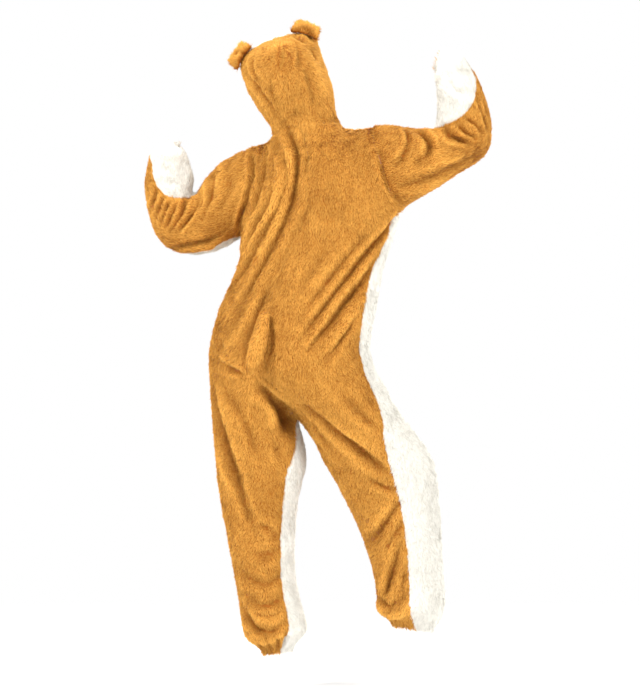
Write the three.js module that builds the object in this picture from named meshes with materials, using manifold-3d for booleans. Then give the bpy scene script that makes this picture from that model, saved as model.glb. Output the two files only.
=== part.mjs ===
// A bulldog costume: a hooded jumpsuit of long-pile plush, hollow, in the pose in which it is worn.
// The backs, the hood's back, the ears and the tail are tan. The fronts and the band round the face are cream.
// Millimetres, +Z up. The front faces -Y, and the costume's left is +X.
// The origin is the centre of the neck seam, by which the costume hangs when it is worn.
import * as THREE from "three";
import Module from "manifold-3d";

const kit = await Module();
kit.setup();

// Driving sizes of the cloth.
const PLUSH = 8; // knitted backing and its pile
const HEM_PLUSH = 5; // the pile pressed flat in the elastic casings
const SEAM_GAP = 0.3;
const TRIM_GAP = 0.3; // between a panel and what is sewn on it
const PLACKET_THICK = 6;

// How many grid steps each part of a panel has.
const ARMHOLE_ROWS = 8;
const SIDE_COLUMNS = 12; // centre seam to side seam
const HALF_COLUMNS = 2 * SIDE_COLUMNS; // centre back to centre front
const TRUNK_ROWS = 9; // underarm to seat
const RISE_ROWS = 5; // seat to crotch
const HOOD_BAND_ROWS = 3;
const HOOD_BAND_COLUMNS = 3;

const point = (x, y, z) => new THREE.Vector3(x, y, z);
const turned = (degrees) => THREE.MathUtils.degToRad(degrees);
const between = (a, b, t) => a.clone().lerp(b, t);

// Trunk sections from the underarm to the seat. wide and deep are half sizes, turn is how far the section's front
// turns to -X, and back, left, right and front place the four seams round it, in degrees from its back.
const TRUNK = [
  { z: -245, x: -32, y: 0, wide: 223, deep: 138, turn: 24, back: 0, left: 90, right: -88, front: 180, tilt: -0.12 },
  { z: -292, x: -27, y: 0, wide: 215, deep: 136, turn: 27, back: 3, left: 92, right: -84, front: 182, tilt: -0.08 },
  { z: -345, x: -7, y: 2, wide: 210, deep: 136, turn: 29, back: 3, left: 93, right: -80, front: 184, tilt: -0.04 },
  { z: -400, x: 11, y: 5, wide: 216, deep: 139, turn: 30, back: 4, left: 94, right: -77, front: 184, tilt: 0 },
  { z: -460, x: 28, y: 8, wide: 227, deep: 143, turn: 31, back: 2.5, left: 94, right: -75, front: 184, tilt: 0 },
  { z: -520, x: 41, y: 10, wide: 231, deep: 146, turn: 31, back: 0, left: 93, right: -78, front: 182, tilt: 0 },
  { z: -575, x: 52, y: 10, wide: 227, deep: 146, turn: 30, back: -4, left: 92, right: -82, front: 180, tilt: 0 },
];

// Leg sections from the crotch to the ankle. inseam and outseam are in degrees from +Y towards +X.
const LEFT_LEG = [
  { z: -745, x: 140, y: -22, wide: 114, deep: 126, inseam: -84, outseam: 112 },
  { z: -788, x: 131, y: -20, wide: 119, deep: 119, inseam: -62, outseam: 120 },
  { z: -830, x: 121, y: -18, wide: 126, deep: 114, inseam: -44, outseam: 128 },
  { z: -875, x: 122, y: -15, wide: 119, deep: 108, inseam: -37, outseam: 133 },
  { z: -930, x: 127, y: -11, wide: 109, deep: 102, inseam: -39, outseam: 134 },
  { z: -990, x: 127, y: -6, wide: 98, deep: 96, inseam: -39, outseam: 135 },
  { z: -1050, x: 121, y: 0, wide: 92, deep: 90, inseam: -38, outseam: 138 },
  { z: -1115, x: 117, y: 6, wide: 84, deep: 86, inseam: -34, outseam: 140 },
  { z: -1180, x: 108, y: 10, wide: 81, deep: 84, inseam: -31, outseam: 143 },
  { z: -1235, x: 97, y: 14, wide: 82, deep: 84, inseam: -30, outseam: 145 },
  { z: -1278, x: 84, y: 16, wide: 93, deep: 88, inseam: -29, outseam: 150 },
  { z: -1304, x: 85, y: 17, wide: 84, deep: 80, inseam: -20, outseam: 152 },
  { z: -1325, x: 84, y: 18, wide: 66, deep: 66, inseam: -17, outseam: 154, tilt: -0.06 },
  { z: -1340, x: 79, y: 18, wide: 50, deep: 53, inseam: -14, outseam: 156, tilt: -0.1 },
  { z: -1352, x: 78, y: 18, wide: 44, deep: 48, inseam: -12, outseam: 156, tilt: -0.12 },
];
const RIGHT_LEG = [
  { z: -745, x: -113, y: 34, wide: 142, deep: 126, inseam: 98, outseam: -37 },
  { z: -788, x: -147, y: 24, wide: 143, deep: 120, inseam: 112, outseam: -16 },
  { z: -830, x: -172, y: 12, wide: 147, deep: 118, inseam: 132, outseam: -10 },
  { z: -875, x: -194, y: -2, wide: 147, deep: 112, inseam: 150, outseam: -8 },
  { z: -930, x: -213, y: -16, wide: 132, deep: 104, inseam: 160, outseam: -8 },
  { z: -990, x: -229, y: -28, wide: 119, deep: 98, inseam: 166, outseam: -8 },
  { z: -1050, x: -243, y: -37, wide: 107, deep: 92, inseam: 170, outseam: -6 },
  { z: -1115, x: -257, y: -42, wide: 98, deep: 88, inseam: 174, outseam: -2 },
  { z: -1175, x: -267, y: -44, wide: 92, deep: 84, inseam: 178, outseam: 5 },
  { z: -1215, x: -272, y: -46, wide: 93, deep: 84, inseam: 178, outseam: 4 },
  { z: -1245, x: -266, y: -48, wide: 95, deep: 86, inseam: 178, outseam: 1, tilt: 0.05 },
  { z: -1266, x: -270, y: -50, wide: 82, deep: 74, inseam: 178, outseam: -1, tilt: 0.1 },
  { z: -1282, x: -273, y: -50, wide: 65, deep: 58, inseam: 178, outseam: -3, tilt: 0.14 },
  { z: -1295, x: -274, y: -50, wide: 57, deep: 50, inseam: 178, outseam: -3, tilt: 0.15 },
];

// Sleeve sections from below the armhole to the wrist, by the point of each at the elbow's side and the point inside
// the elbow, in the X-Z plane. deep is the half size along Y, and top and under place the seams in degrees.
const LEFT_SLEEVE = [
  { outX: 187, outZ: -289, inX: 205, inZ: -55, y: -90, deep: 90, top: 0, under: 146 },
  { outX: 224, outZ: -312, inX: 242, inZ: -81, y: -94, deep: 85, top: 0, under: 145 },
  { outX: 265, outZ: -320, inX: 268, inZ: -112, y: -98, deep: 81, top: 0, under: 152 },
  { outX: 312, outZ: -322, inX: 282, inZ: -134, y: -102, deep: 78, top: 2, under: 166 },
  { outX: 364, outZ: -312, inX: 289, inZ: -142, y: -105, deep: 76, top: 12, under: 186 },
  { outX: 400, outZ: -283, inX: 292, inZ: -146, y: -107, deep: 73, top: 36, under: 212 },
  { outX: 420, outZ: -237, inX: 294, inZ: -143, y: -108, deep: 71, top: 72, under: 246 },
  { outX: 432, outZ: -185, inX: 295, inZ: -134, y: -108, deep: 69, top: 110, under: 284 },
  { outX: 434, outZ: -127, inX: 295, inZ: -117, y: -107, deep: 67, top: 127, under: 300 },
  { outX: 429, outZ: -86, inX: 302, inZ: -86, y: -104, deep: 66, top: 136, under: 310 },
  { outX: 417, outZ: -57, inX: 312, inZ: -61, y: -100, deep: 62, top: 168, under: 330 },
  { outX: 400, outZ: -36, inX: 324, inZ: -44, y: -96, deep: 52, top: 188, under: 346 },
  { outX: 382, outZ: -25, inX: 333, inZ: -38, y: -92, deep: 38, top: 196, under: 354 },
  { outX: 376, outZ: -17, inX: 330, inZ: -30, y: -90, deep: 36, top: 198, under: 355 },
];
const RIGHT_SLEEVE = [
  { outX: -265, outZ: -195, inX: -192, inZ: 23, y: 92, deep: 90, top: 0, under: 182 },
  { outX: -302, outZ: -174, inX: -226, inZ: 18, y: 95, deep: 86, top: 0, under: 182 },
  { outX: -343, outZ: -148, inX: -260, inZ: 10, y: 98, deep: 82, top: 0, under: 182 },
  { outX: -385, outZ: -120, inX: -289, inZ: 7, y: 101, deep: 79, top: 0, under: 183 },
  { outX: -421, outZ: -94, inX: -309, inZ: 5, y: 104, deep: 77, top: 3, under: 186 },
  { outX: -458, outZ: -75, inX: -318, inZ: 5, y: 107, deep: 75, top: 12, under: 194 },
  { outX: -478, outZ: -44, inX: -321, inZ: 12, y: 109, deep: 74, top: 33, under: 214 },
  { outX: -482, outZ: -5, inX: -323, inZ: 25, y: 109, deep: 72, top: 70, under: 250 },
  { outX: -474, outZ: 39, inX: -326, inZ: 44, y: 109, deep: 70, top: 98, under: 276 },
  { outX: -463, outZ: 81, inX: -328, inZ: 70, y: 109, deep: 68, top: 128, under: 306 },
  { outX: -447, outZ: 122, inX: -328, inZ: 98, y: 108, deep: 66, top: 150, under: 324 },
  { outX: -426, outZ: 161, inX: -327, inZ: 120, y: 106, deep: 62, top: 176, under: 340 },
  { outX: -400, outZ: 198, inX: -326, inZ: 136, y: 104, deep: 54, top: 190, under: 352 },
  { outX: -372, outZ: 216, inX: -325, inZ: 146, y: 103, deep: 42, top: 196, under: 356 },
  { outX: -346, outZ: 216, inX: -322, inZ: 155, y: 102, deep: 38, top: 198, under: 358 },
];

// The neck seam, by its four seam points.
const NECK = {
  back: point(21, 74, 6),
  left: point(97, -30, -6),
  right: point(-88, 38, 20),
  front: point(-20, -88, -62),
};

// The armholes, by the shoulder point and the rearmost and foremost points. The underarm is the trunk's own.
const ARMHOLE = {
  left: { top: point(156, -72, -30), back: point(158, 22, -160), front: point(128, -168, -150) },
  right: { top: point(-162, 72, 14), back: point(-170, 150, -102), front: point(-214, -8, -108) },
};

// The centre back and centre front seams between the neck and the underarm, and the rise under the crotch.
const CENTRE_BACK = [point(6, 104, -50), point(0, 120, -105), point(5, 130, -170)];
const CENTRE_FRONT = [point(-44, -118, -115), point(-68, -130, -180)];
const CROTCH = point(27, 2, -742);
const RISE_BACK = [point(112, 146, -655), point(66, 84, -738)];
const RISE_FRONT = [point(-14, -134, -665), point(8, -78, -736)];

// The hood's own frame: its centre, how far it leans to +X, and how far its front turns to -X.
const HOOD_FRAME = { centre: point(54, 12, 122), lean: 20, turn: 8 };

// Hood sections from above the neck seam to the top of the face opening: how far each is shifted sideways, the
// centre seam's point, the half width, and the face edge's point.
const HOOD = [
  { shift: -10, seamY: 92, seamZ: -72, wide: 86, edgeX: 26, edgeY: -92, edgeZ: -132 },
  { shift: -9, seamY: 106, seamZ: -40, wide: 94, edgeX: 50, edgeY: -102, edgeZ: -108 },
  { shift: -7, seamY: 113, seamZ: -6, wide: 101, edgeX: 68, edgeY: -107, edgeZ: -80 },
  { shift: -4, seamY: 113, seamZ: 28, wide: 106, edgeX: 79, edgeY: -109, edgeZ: -48 },
  { shift: -1, seamY: 104, seamZ: 62, wide: 109, edgeX: 85, edgeY: -110, edgeZ: -14 },
  { shift: 0, seamY: 84, seamZ: 92, wide: 110, edgeX: 87, edgeY: -110, edgeZ: 20 },
  { shift: 0, seamY: 54, seamZ: 112, wide: 110, edgeX: 87, edgeY: -110, edgeZ: 48 },
  { shift: 0, seamY: 20, seamZ: 122, wide: 108, edgeX: 85, edgeY: -111, edgeZ: 68 },
  { shift: 0, seamY: -16, seamZ: 126, wide: 104, edgeX: 82, edgeY: -112, edgeZ: 80 },
  { shift: 0, seamY: -50, seamZ: 138, wide: 98, edgeX: 78, edgeY: -113, edgeZ: 88 },
  { shift: 0, seamY: -84, seamZ: 140, wide: 88, edgeX: 73, edgeY: -114, edgeZ: 94 },
  { shift: 0, seamY: -108, seamZ: 128, wide: 68, edgeX: 68, edgeY: -115, edgeZ: 98 },
];

// An ear: a flat stuffed flap that stands on the hood and folds over forwards. Its middle and its slope in the hood's
// frame, and its rows from the root to the tip by height, reach forwards and half width.
const EAR = { x: 79, y: -14, z: 98, slope: -37, half: 6.5 };
const EAR_ROWS = [
  { up: -4, forward: 0, wide: 36 },
  { up: 14, forward: -2, wide: 40 },
  { up: 30, forward: -1, wide: 41 },
  { up: 40, forward: 5, wide: 39 },
  { up: 43, forward: 16, wide: 38 },
  { up: 38, forward: 27, wide: 38 },
  { up: 28, forward: 33, wide: 36 },
  { up: 19, forward: 37, wide: 30 },
  { up: 14, forward: 39, wide: 18 },
];
const EAR_SIDES = 14;

// The tail: a stuffed, tapered roll that hangs from the centre back seam, by its sections.
const TAIL = [
  { x: 110, y: 136, z: -462, across: 13, through: 11 },
  { x: 114, y: 152, z: -486, across: 19, through: 16 },
  { x: 121, y: 164, z: -522, across: 25, through: 20 },
  { x: 130, y: 170, z: -562, across: 28, through: 21 },
  { x: 139, y: 171, z: -598, across: 26, through: 19 },
  { x: 146, y: 168, z: -622, across: 19, through: 14 },
  { x: 149, y: 165, z: -634, across: 9, through: 7 },
];
const TAIL_SIDES = 14;

// Soft bumps that fill the seat out, and in the hood's frame those of the brow.
const BUMPS = [
  { x: 186, y: 100, z: -600, radius: 80, height: 10 },
  { x: -40, y: 150, z: -600, radius: 90, height: 10 },
];
const BROW = [
  { x: 30, y: -78, z: 140, radius: 26, height: 10 },
  { x: -30, y: -78, z: 140, radius: 26, height: 10 },
];

// The largest folds: three points of each one's line in the X-Z plane, half width, depth, and the side that it is on.
const FOLDS = [
  { x1: 28, z1: -40, x2: 26, z2: -150, x3: 84, z3: -320, width: 20, depth: 12, side: 1 },
  { x1: 84, z1: -320, x2: 108, z2: -400, x3: 118, z3: -480, width: 20, depth: 8, side: 1 },
  { x1: 46, z1: -85, x2: 72, z2: -200, x3: 128, z3: -300, width: 22, depth: 11, side: 1 },
  { x1: 128, z1: -300, x2: 176, z2: -380, x3: 208, z3: -450, width: 22, depth: 9, side: 1 },
  { x1: 100, z1: -60, x2: 112, z2: -160, x3: 150, z3: -290, width: 22, depth: 9, side: 1 },
  { x1: 142, z1: -75, x2: 140, z2: -170, x3: 162, z3: -250, width: 20, depth: 10, side: 1 },
  { x1: -232, z1: -240, x2: -110, z2: -350, x3: -8, z3: -500, width: 24, depth: 13, side: 1 },
  { x1: -190, z1: -335, x2: -108, z2: -415, x3: -12, z3: -545, width: 22, depth: 12, side: 1 },
  { x1: -165, z1: -380, x2: -98, z2: -465, x3: -40, z3: -575, width: 20, depth: 10, side: 1 },
  { x1: 128, z1: -648, x2: 60, z2: -700, x3: 18, z3: -780, width: 24, depth: 12, side: 1 },
  { x1: 238, z1: -610, x2: 200, z2: -640, x3: 160, z3: -650, width: 22, depth: 10, side: 1 },
  { x1: 243, z1: -665, x2: 190, z2: -900, x3: 130, z3: -1090, width: 26, depth: 10, side: 1 },
  { x1: 205, z1: -645, x2: 130, z2: -770, x3: 60, z3: -900, width: 26, depth: 10, side: 1 },
  { x1: 168, z1: -930, x2: 128, z2: -1045, x3: 64, z3: -1085, width: 22, depth: 9, side: 1 },
  { x1: 62, z1: -1130, x2: 95, z2: -1165, x3: 138, z3: -1170, width: 20, depth: 8, side: 1 },
  { x1: 20, z1: -725, x2: -96, z2: -808, x3: -230, z3: -945, width: 29, depth: 10, side: 1 },
  { x1: -246, z1: -985, x2: -182, z2: -1016, x3: -150, z3: -1075, width: 24, depth: 10, side: 1 },
  { x1: -252, z1: -1085, x2: -226, z2: -1165, x3: -202, z3: -1250, width: 20, depth: 10, side: 1 },
  { x1: 262, z1: -125, x2: 300, z2: -190, x3: 318, z3: -290, width: 20, depth: 8, side: 1 },
  { x1: 300, z1: -170, x2: 340, z2: -240, x3: 355, z3: -300, width: 20, depth: 8, side: 1 },
  { x1: -236, z1: -20, x2: -262, z2: -75, x3: -238, z3: -120, width: 20, depth: 9, side: 1 },
  { x1: -282, z1: -12, x2: -296, z2: -70, x3: -262, z3: -110, width: 20, depth: 9, side: 1 },
  { x1: -330, z1: -20, x2: -372, z2: -48, x3: -415, z3: -58, width: 20, depth: 8, side: 1 },
  { x1: 150, z1: -280, x2: 60, z2: -370, x3: -20, z3: -470, width: 24, depth: 10, side: -1 },
  { x1: -200, z1: -300, x2: -130, z2: -420, x3: -110, z3: -560, width: 24, depth: 10, side: -1 },
  { x1: 200, z1: -360, x2: 150, z2: -480, x3: 60, z3: -600, width: 24, depth: 9, side: -1 },
  { x1: 150, z1: -620, x2: 60, z2: -690, x3: -10, z3: -740, width: 24, depth: 10, side: -1 },
  { x1: -120, z1: -640, x2: -170, z2: -760, x3: -250, z3: -850, width: 26, depth: 10, side: -1 },
  { x1: 190, z1: -900, x2: 130, z2: -1000, x3: 70, z3: -1050, width: 24, depth: 9, side: -1 },
  { x1: -300, z1: -960, x2: -250, z2: -1060, x3: -200, z3: -1110, width: 24, depth: 9, side: -1 },
];

// How the cloth is settled: steps that round the joins of the sections, each one eased out and then drawn back.
const SETTLE_STEPS = 8;
const SETTLE_IN = 0.5;
const SETTLE_OUT = -0.52;

const GATHER_HEIGHT = 5; // how far a gather stands from the casing's mean line

const TAN = new THREE.MeshStandardMaterial({ color: 0xd9933a, roughness: 0.95, metalness: 0 });
const CREAM = new THREE.MeshStandardMaterial({ color: 0xf6f2e8, roughness: 0.95, metalness: 0 });

// The cloth as one surface: welded points, and four-sided faces that know their panel.
const cloth = { points: [], index: new Map(), faces: [] };

function weld(p) {
  const key = [p.x, p.y, p.z].map((value) => Math.round(value * 20)).join(",");
  if (!cloth.index.has(key)) {
    cloth.index.set(key, cloth.points.length);
    cloth.points.push(p.clone());
  }
  return cloth.index.get(key);
}

// Adds a grid of points as faces. flip says that the columns run the other way round the form, and lapped says which
// faces the closing lies over.
function addGrid(grid, flip, panelOf, lapped = () => false) {
  const ids = grid.map((row) => row.map(weld));
  for (let i = 0; i + 1 < ids.length; i++) {
    for (let j = 0; j + 1 < ids[i].length; j++) {
      const corners = [ids[i][j], ids[i][j + 1], ids[i + 1][j + 1], ids[i + 1][j]];
      cloth.faces.push({
        corners: flip ? corners.reverse() : corners,
        panel: panelOf(i, j),
        lapped: lapped(i, j),
      });
    }
  }
  return ids;
}

// The point at share t of a line of points, smoothed between them.
function alongCurve(points, t) {
  return new THREE.CatmullRomCurve3(points, false, "centripetal").getPoint(t);
}

// A patch between four edges, each a function of 0 to 1: top and bottom run across it, near and far run down it.
function patch(rows, columns, top, bottom, near, far) {
  const grid = [];
  for (let i = 0; i <= rows; i++) {
    const v = i / rows;
    const row = [];
    for (let j = 0; j <= columns; j++) {
      const u = j / columns;
      const across = between(top(u), bottom(u), v);
      const down = between(near(v), far(v), u);
      const corners = between(between(top(0), top(1), u), between(bottom(0), bottom(1), u), v);
      row.push(across.add(down).sub(corners));
    }
    grid.push(row);
  }
  return grid;
}

// The section at share t of the way down a table.
function sectionAt(table, t) {
  const k = Math.min(table.length - 2, Math.floor(t * (table.length - 1)));
  const rest = t * (table.length - 1) - k;
  const mixed = (key) => table[k][key] + (table[k + 1][key] - table[k][key]) * rest;
  return Object.fromEntries(Object.keys(table[k]).map((key) => [key, mixed(key)]));
}

// A point of a trunk section at share s of the way from the centre back to the centre front, on one side.
function trunkPoint(section, side, s) {
  const seam = side > 0 ? section.left : section.right;
  const front = side > 0 ? section.front : section.front - 360;
  const degrees = s < 0.5 ? section.back + (seam - section.back) * 2 * s : seam + (front - seam) * (2 * s - 1);
  const around = turned(degrees);
  const facing = turned(section.turn);
  const out = section.wide * Math.sin(around);
  const back = section.deep * Math.cos(around);
  const x = out * Math.cos(facing) + back * Math.sin(facing);
  const y = back * Math.cos(facing) - out * Math.sin(facing);
  return point(section.x + x, section.y + y, section.z + section.tilt * x);
}

// A point of a leg section at share s of the way round from the inseam, by the back and the outseam.
function legPoint(section, side, s) {
  const full = section.inseam + side * 360;
  const degrees =
    s < 0.5
      ? section.inseam + (section.outseam - section.inseam) * 2 * s
      : section.outseam + (full - section.outseam) * (2 * s - 1);
  const around = turned(degrees);
  return point(
    section.x + section.wide * Math.sin(around),
    section.y + section.deep * Math.cos(around),
    section.z + (section.tilt || 0) * section.wide * Math.sin(around),
  );
}

// A point of the neck seam, from the centre back at 0 by one side to the centre front at 1.
function neckPoint(side, s) {
  const flank = side > 0 ? NECK.left : NECK.right;
  const middle = between(NECK.left, NECK.right, 0.5);
  const around = turned(180 * s);
  const outward = flank.clone().sub(middle).multiplyScalar(Math.sin(around));
  const end = s < 0.5 ? NECK.back : NECK.front;
  return middle.clone().add(outward).add(end.clone().sub(middle).multiplyScalar(Math.abs(Math.cos(around))));
}

// A point of an armhole, from the shoulder at 0 down to the underarm at 1, round its back or its front.
function armholePoint(side, face, v) {
  const hole = side > 0 ? ARMHOLE.left : ARMHOLE.right;
  const under = trunkPoint(TRUNK[0], side, 0.5);
  const middle = between(hole.top, under, 0.5);
  const around = turned(180 * v);
  const up = hole.top.clone().sub(middle).multiplyScalar(Math.cos(around));
  const out = (face > 0 ? hole.back : hole.front).clone().sub(middle).multiplyScalar(Math.sin(around));
  return middle.clone().add(up).add(out);
}

// The shoulder seam, from the neck at 0 to the armhole at 1.
function shoulderPoint(side, u) {
  const neck = neckPoint(side, 0.5);
  const tip = armholePoint(side, 1, 0);
  const sag = point(0, 0, -4 * Math.sin(Math.PI * u));
  return between(neck, tip, u).add(sag);
}

// One half of the jumpsuit's body: a grid from the neck and shoulder down to the ankle, and round from the
// centre back to the centre front.
function bodyHalf(side, legSections) {
  const onTop = (u) =>
    u < 0.5 ? neckPoint(side, u) : shoulderPoint(side, 2 * u - 1);
  const centreBack = [NECK.back, ...CENTRE_BACK, trunkPoint(TRUNK[0], side, 0)];
  const centreFront = [NECK.front, ...CENTRE_FRONT, trunkPoint(TRUNK[0], side, 1)];
  const back = patch(
    ARMHOLE_ROWS,
    SIDE_COLUMNS,
    onTop,
    (u) => trunkPoint(TRUNK[0], side, u / 2),
    (v) => alongCurve(centreBack, v),
    (v) => armholePoint(side, 1, v),
  );
  const front = patch(
    ARMHOLE_ROWS,
    SIDE_COLUMNS,
    (u) => (u < 0.5 ? shoulderPoint(side, 1 - 2 * u) : neckPoint(side, u)),
    (u) => trunkPoint(TRUNK[0], side, (1 + u) / 2),
    (v) => armholePoint(side, -1, v),
    (v) => alongCurve(centreFront, v),
  );
  const shares = Array.from({ length: HALF_COLUMNS + 1 }, (_, j) => j / HALF_COLUMNS);
  const lower = [];
  for (let i = 0; i <= TRUNK_ROWS; i++) {
    const section = sectionAt(TRUNK, i / TRUNK_ROWS);
    lower.push(shares.map((s) => trunkPoint(section, side, s)));
  }
  const seat = TRUNK[TRUNK.length - 1];
  const riseBack = new THREE.CubicBezierCurve3(trunkPoint(seat, side, 0), ...RISE_BACK, CROTCH);
  const riseFront = new THREE.CubicBezierCurve3(trunkPoint(seat, side, 1), ...RISE_FRONT, CROTCH);
  for (let i = 1; i <= RISE_ROWS; i++) {
    const t = i / RISE_ROWS;
    const z = seat.z + (legSections[0].z - seat.z) * t;
    const row = shares.map((s) =>
      between(trunkPoint({ ...seat, z }, side, s), legPoint({ ...legSections[0], z }, side, s), t),
    );
    const nearMiss = riseBack.getPoint(t).sub(row[0]);
    const farMiss = riseFront.getPoint(t).sub(row[HALF_COLUMNS]);
    lower.push(
      row.map((p, j) =>
        p
          .clone()
          .addScaledVector(nearMiss, Math.pow(1 - shares[j], 4))
          .addScaledVector(farMiss, Math.pow(shares[j], 4)),
      ),
    );
  }
  const last = legSections.length - 1;
  legSections.slice(1).forEach((section, k) => {
    const gathered = k + 1 >= last - 2;
    lower.push(
      shares.map((s, j) => {
        const wave = gathered && j % 2 ? -GATHER_HEIGHT : 0;
        return legPoint({ ...section, wide: section.wide + wave, deep: section.deep + wave }, side, s);
      }),
    );
  });
  const name = side > 0 ? "left" : "right";
  const flip = side < 0;
  const panelOf = (i, j) => (j < SIDE_COLUMNS ? "back_" : "front_") + name;
  addGrid(back, flip, () => "back_" + name);
  addGrid(front, flip, () => "front_" + name, (i, j) => j === SIDE_COLUMNS - 1);
  const closing = (i, j) => j === HALF_COLUMNS - 1 && i < TRUNK_ROWS - 1;
  return addGrid(lower, flip, panelOf, closing);
}

// A sleeve: the armhole's own ring, and then the table's sections.
function sleeve(side, sections) {
  const rows = [];
  const first = [];
  for (let j = 0; j <= 2 * ARMHOLE_ROWS; j++) {
    const v = j / ARMHOLE_ROWS;
    first.push(v <= 1 ? armholePoint(side, 1, v) : armholePoint(side, -1, 2 - v));
  }
  rows.push(first);
  const last = sections.length - 1;
  sections.forEach((section, i) => {
    const middle = point((section.outX + section.inX) / 2, section.y, (section.outZ + section.inZ) / 2);
    const reach = point(section.inX - middle.x, 0, section.inZ - middle.z);
    const row = [];
    for (let j = 0; j <= 2 * ARMHOLE_ROWS; j++) {
      const v = j / ARMHOLE_ROWS;
      const degrees =
        v <= 1
          ? section.top + (section.under - section.top) * v
          : section.under + (section.top + 360 - section.under) * (v - 1);
      const around = turned(degrees);
      const drawnIn = i >= last - 1 && j % 2 ? 1 - GATHER_HEIGHT / section.deep : 1;
      const out = reach.clone().multiplyScalar(Math.cos(around));
      out.y = section.deep * Math.sin(around);
      row.push(middle.clone().addScaledVector(out, drawnIn));
    }
    rows.push(row);
  });
  const name = side > 0 ? "left" : "right";
  return addGrid(rows, side > 0, (i, j) => "sleeve_" + name + (j < ARMHOLE_ROWS ? "_back" : "_front"));
}

// From the hood's frame to the costume's.
function hoodPoint({ x = 0, y, z }, side = 1) {
  return point(x * side, y, z)
    .applyAxisAngle(point(0, 0, 1), -turned(HOOD_FRAME.turn))
    .applyAxisAngle(point(0, 1, 0), turned(HOOD_FRAME.lean))
    .add(HOOD_FRAME.centre);
}

// Half of the hood: from the neck seam over the crown, and from the centre seam to the face edge.
function hoodHalf(side) {
  const columns = Array.from({ length: SIDE_COLUMNS + 1 }, (_, j) => j / SIDE_COLUMNS);
  const grid = [columns.map((u) => neckPoint(side, u))];
  for (const row of HOOD) {
    const close = Math.PI - Math.asin(Math.min(1, row.edgeX / row.wide));
    grid.push(
      columns.map((u) => {
        const around = close * u;
        const share = (1 - Math.cos(around)) / (1 - Math.cos(close));
        const y = row.seamY + (row.edgeY - row.seamY) * share;
        const z = row.seamZ + (row.edgeZ - row.seamZ) * share;
        return hoodPoint({ x: row.shift * side + row.wide * Math.sin(around), y, z }, side);
      }),
    );
  }
  const name = side > 0 ? "left" : "right";
  addGrid(grid, side > 0, (i, j) => {
    const band = i >= HOOD.length - HOOD_BAND_ROWS || j >= SIDE_COLUMNS - HOOD_BAND_COLUMNS;
    return (band ? "hood_front_" : "hood_back_") + name;
  });
}

// Each point's neighbours, and whether it is on an open edge of the cloth.
function neighbours() {
  const near = cloth.points.map(() => new Map());
  for (const { corners } of cloth.faces) {
    corners.forEach((a, k) => {
      const b = corners[(k + 1) % 4];
      near[a].set(b, (near[a].get(b) || 0) + 1);
      near[b].set(a, (near[b].get(a) || 0) + 1);
    });
  }
  return near;
}

// Rounds the joins between sections without shrinking the form. Open edges and gathers stay where they are.
function settle(held) {
  const near = neighbours();
  const open = near.map((map) => [...map.values()].some((uses) => uses === 1));
  for (let step = 0; step < SETTLE_STEPS; step++) {
    for (const factor of [SETTLE_IN, SETTLE_OUT]) {
      const before = cloth.points.map((p) => p.clone());
      before.forEach((p, i) => {
        if (open[i] || held.has(i)) return;
        const mean = point(0, 0, 0);
        for (const j of near[i].keys()) mean.add(before[j]);
        mean.divideScalar(near[i].size);
        cloth.points[i].addScaledVector(mean.sub(p), factor);
      });
    }
  }
}

// The cloth's outward direction at each point.
function normals() {
  const found = cloth.points.map(() => point(0, 0, 0));
  for (const { corners } of cloth.faces) {
    const [a, b, c, d] = corners.map((i) => cloth.points[i]);
    const face = c.clone().sub(a).cross(d.clone().sub(b));
    corners.forEach((i) => found[i].add(face));
  }
  return found.map((n) => n.normalize());
}

// How far a point of the X-Z plane lies from a fold's line, and its share of the way along it.
function foldDistance(fold, x, z) {
  const bend = new THREE.QuadraticBezierCurve(
    new THREE.Vector2(fold.x1, fold.z1),
    new THREE.Vector2(2 * fold.x2 - (fold.x1 + fold.x3) / 2, 2 * fold.z2 - (fold.z1 + fold.z3) / 2),
    new THREE.Vector2(fold.x3, fold.z3),
  );
  let nearest = { distance: Infinity, share: 0 };
  const steps = 24;
  for (let k = 0; k <= steps; k++) {
    const distance = bend.getPoint(k / steps).distanceTo(new THREE.Vector2(x, z));
    if (distance < nearest.distance) nearest = { distance, share: k / steps };
  }
  return nearest;
}

// Presses the folds into the cloth and raises the bumps, each along the cloth's own outward direction.
function shape() {
  const out = normals();
  const bumps = [...BUMPS, ...BROW.map((bump) => ({ ...bump, ...hoodPoint(bump) }))];
  const moves = cloth.points.map((p, i) => {
    let move = 0;
    for (const fold of FOLDS) {
      const facing = out[i].y * fold.side;
      if (facing < 0.05) continue;
      const { distance, share } = foldDistance(fold, p.x, p.z);
      const ends = Math.pow(Math.sin(Math.PI * (0.08 + 0.84 * share)), 0.6);
      const across = distance / fold.width;
      const trough = Math.exp(-across * across) - 0.45 * Math.exp(-Math.pow(across - 2.1, 2));
      move -= fold.depth * trough * ends * Math.min(1, facing * 3);
    }
    for (const bump of bumps) {
      const away = p.distanceTo(point(bump.x, bump.y, bump.z)) / bump.radius;
      move += bump.height * Math.exp(-away * away);
    }
    return move;
  });
  cloth.points.forEach((p, i) => p.addScaledVector(out[i], moves[i]));
}

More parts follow.
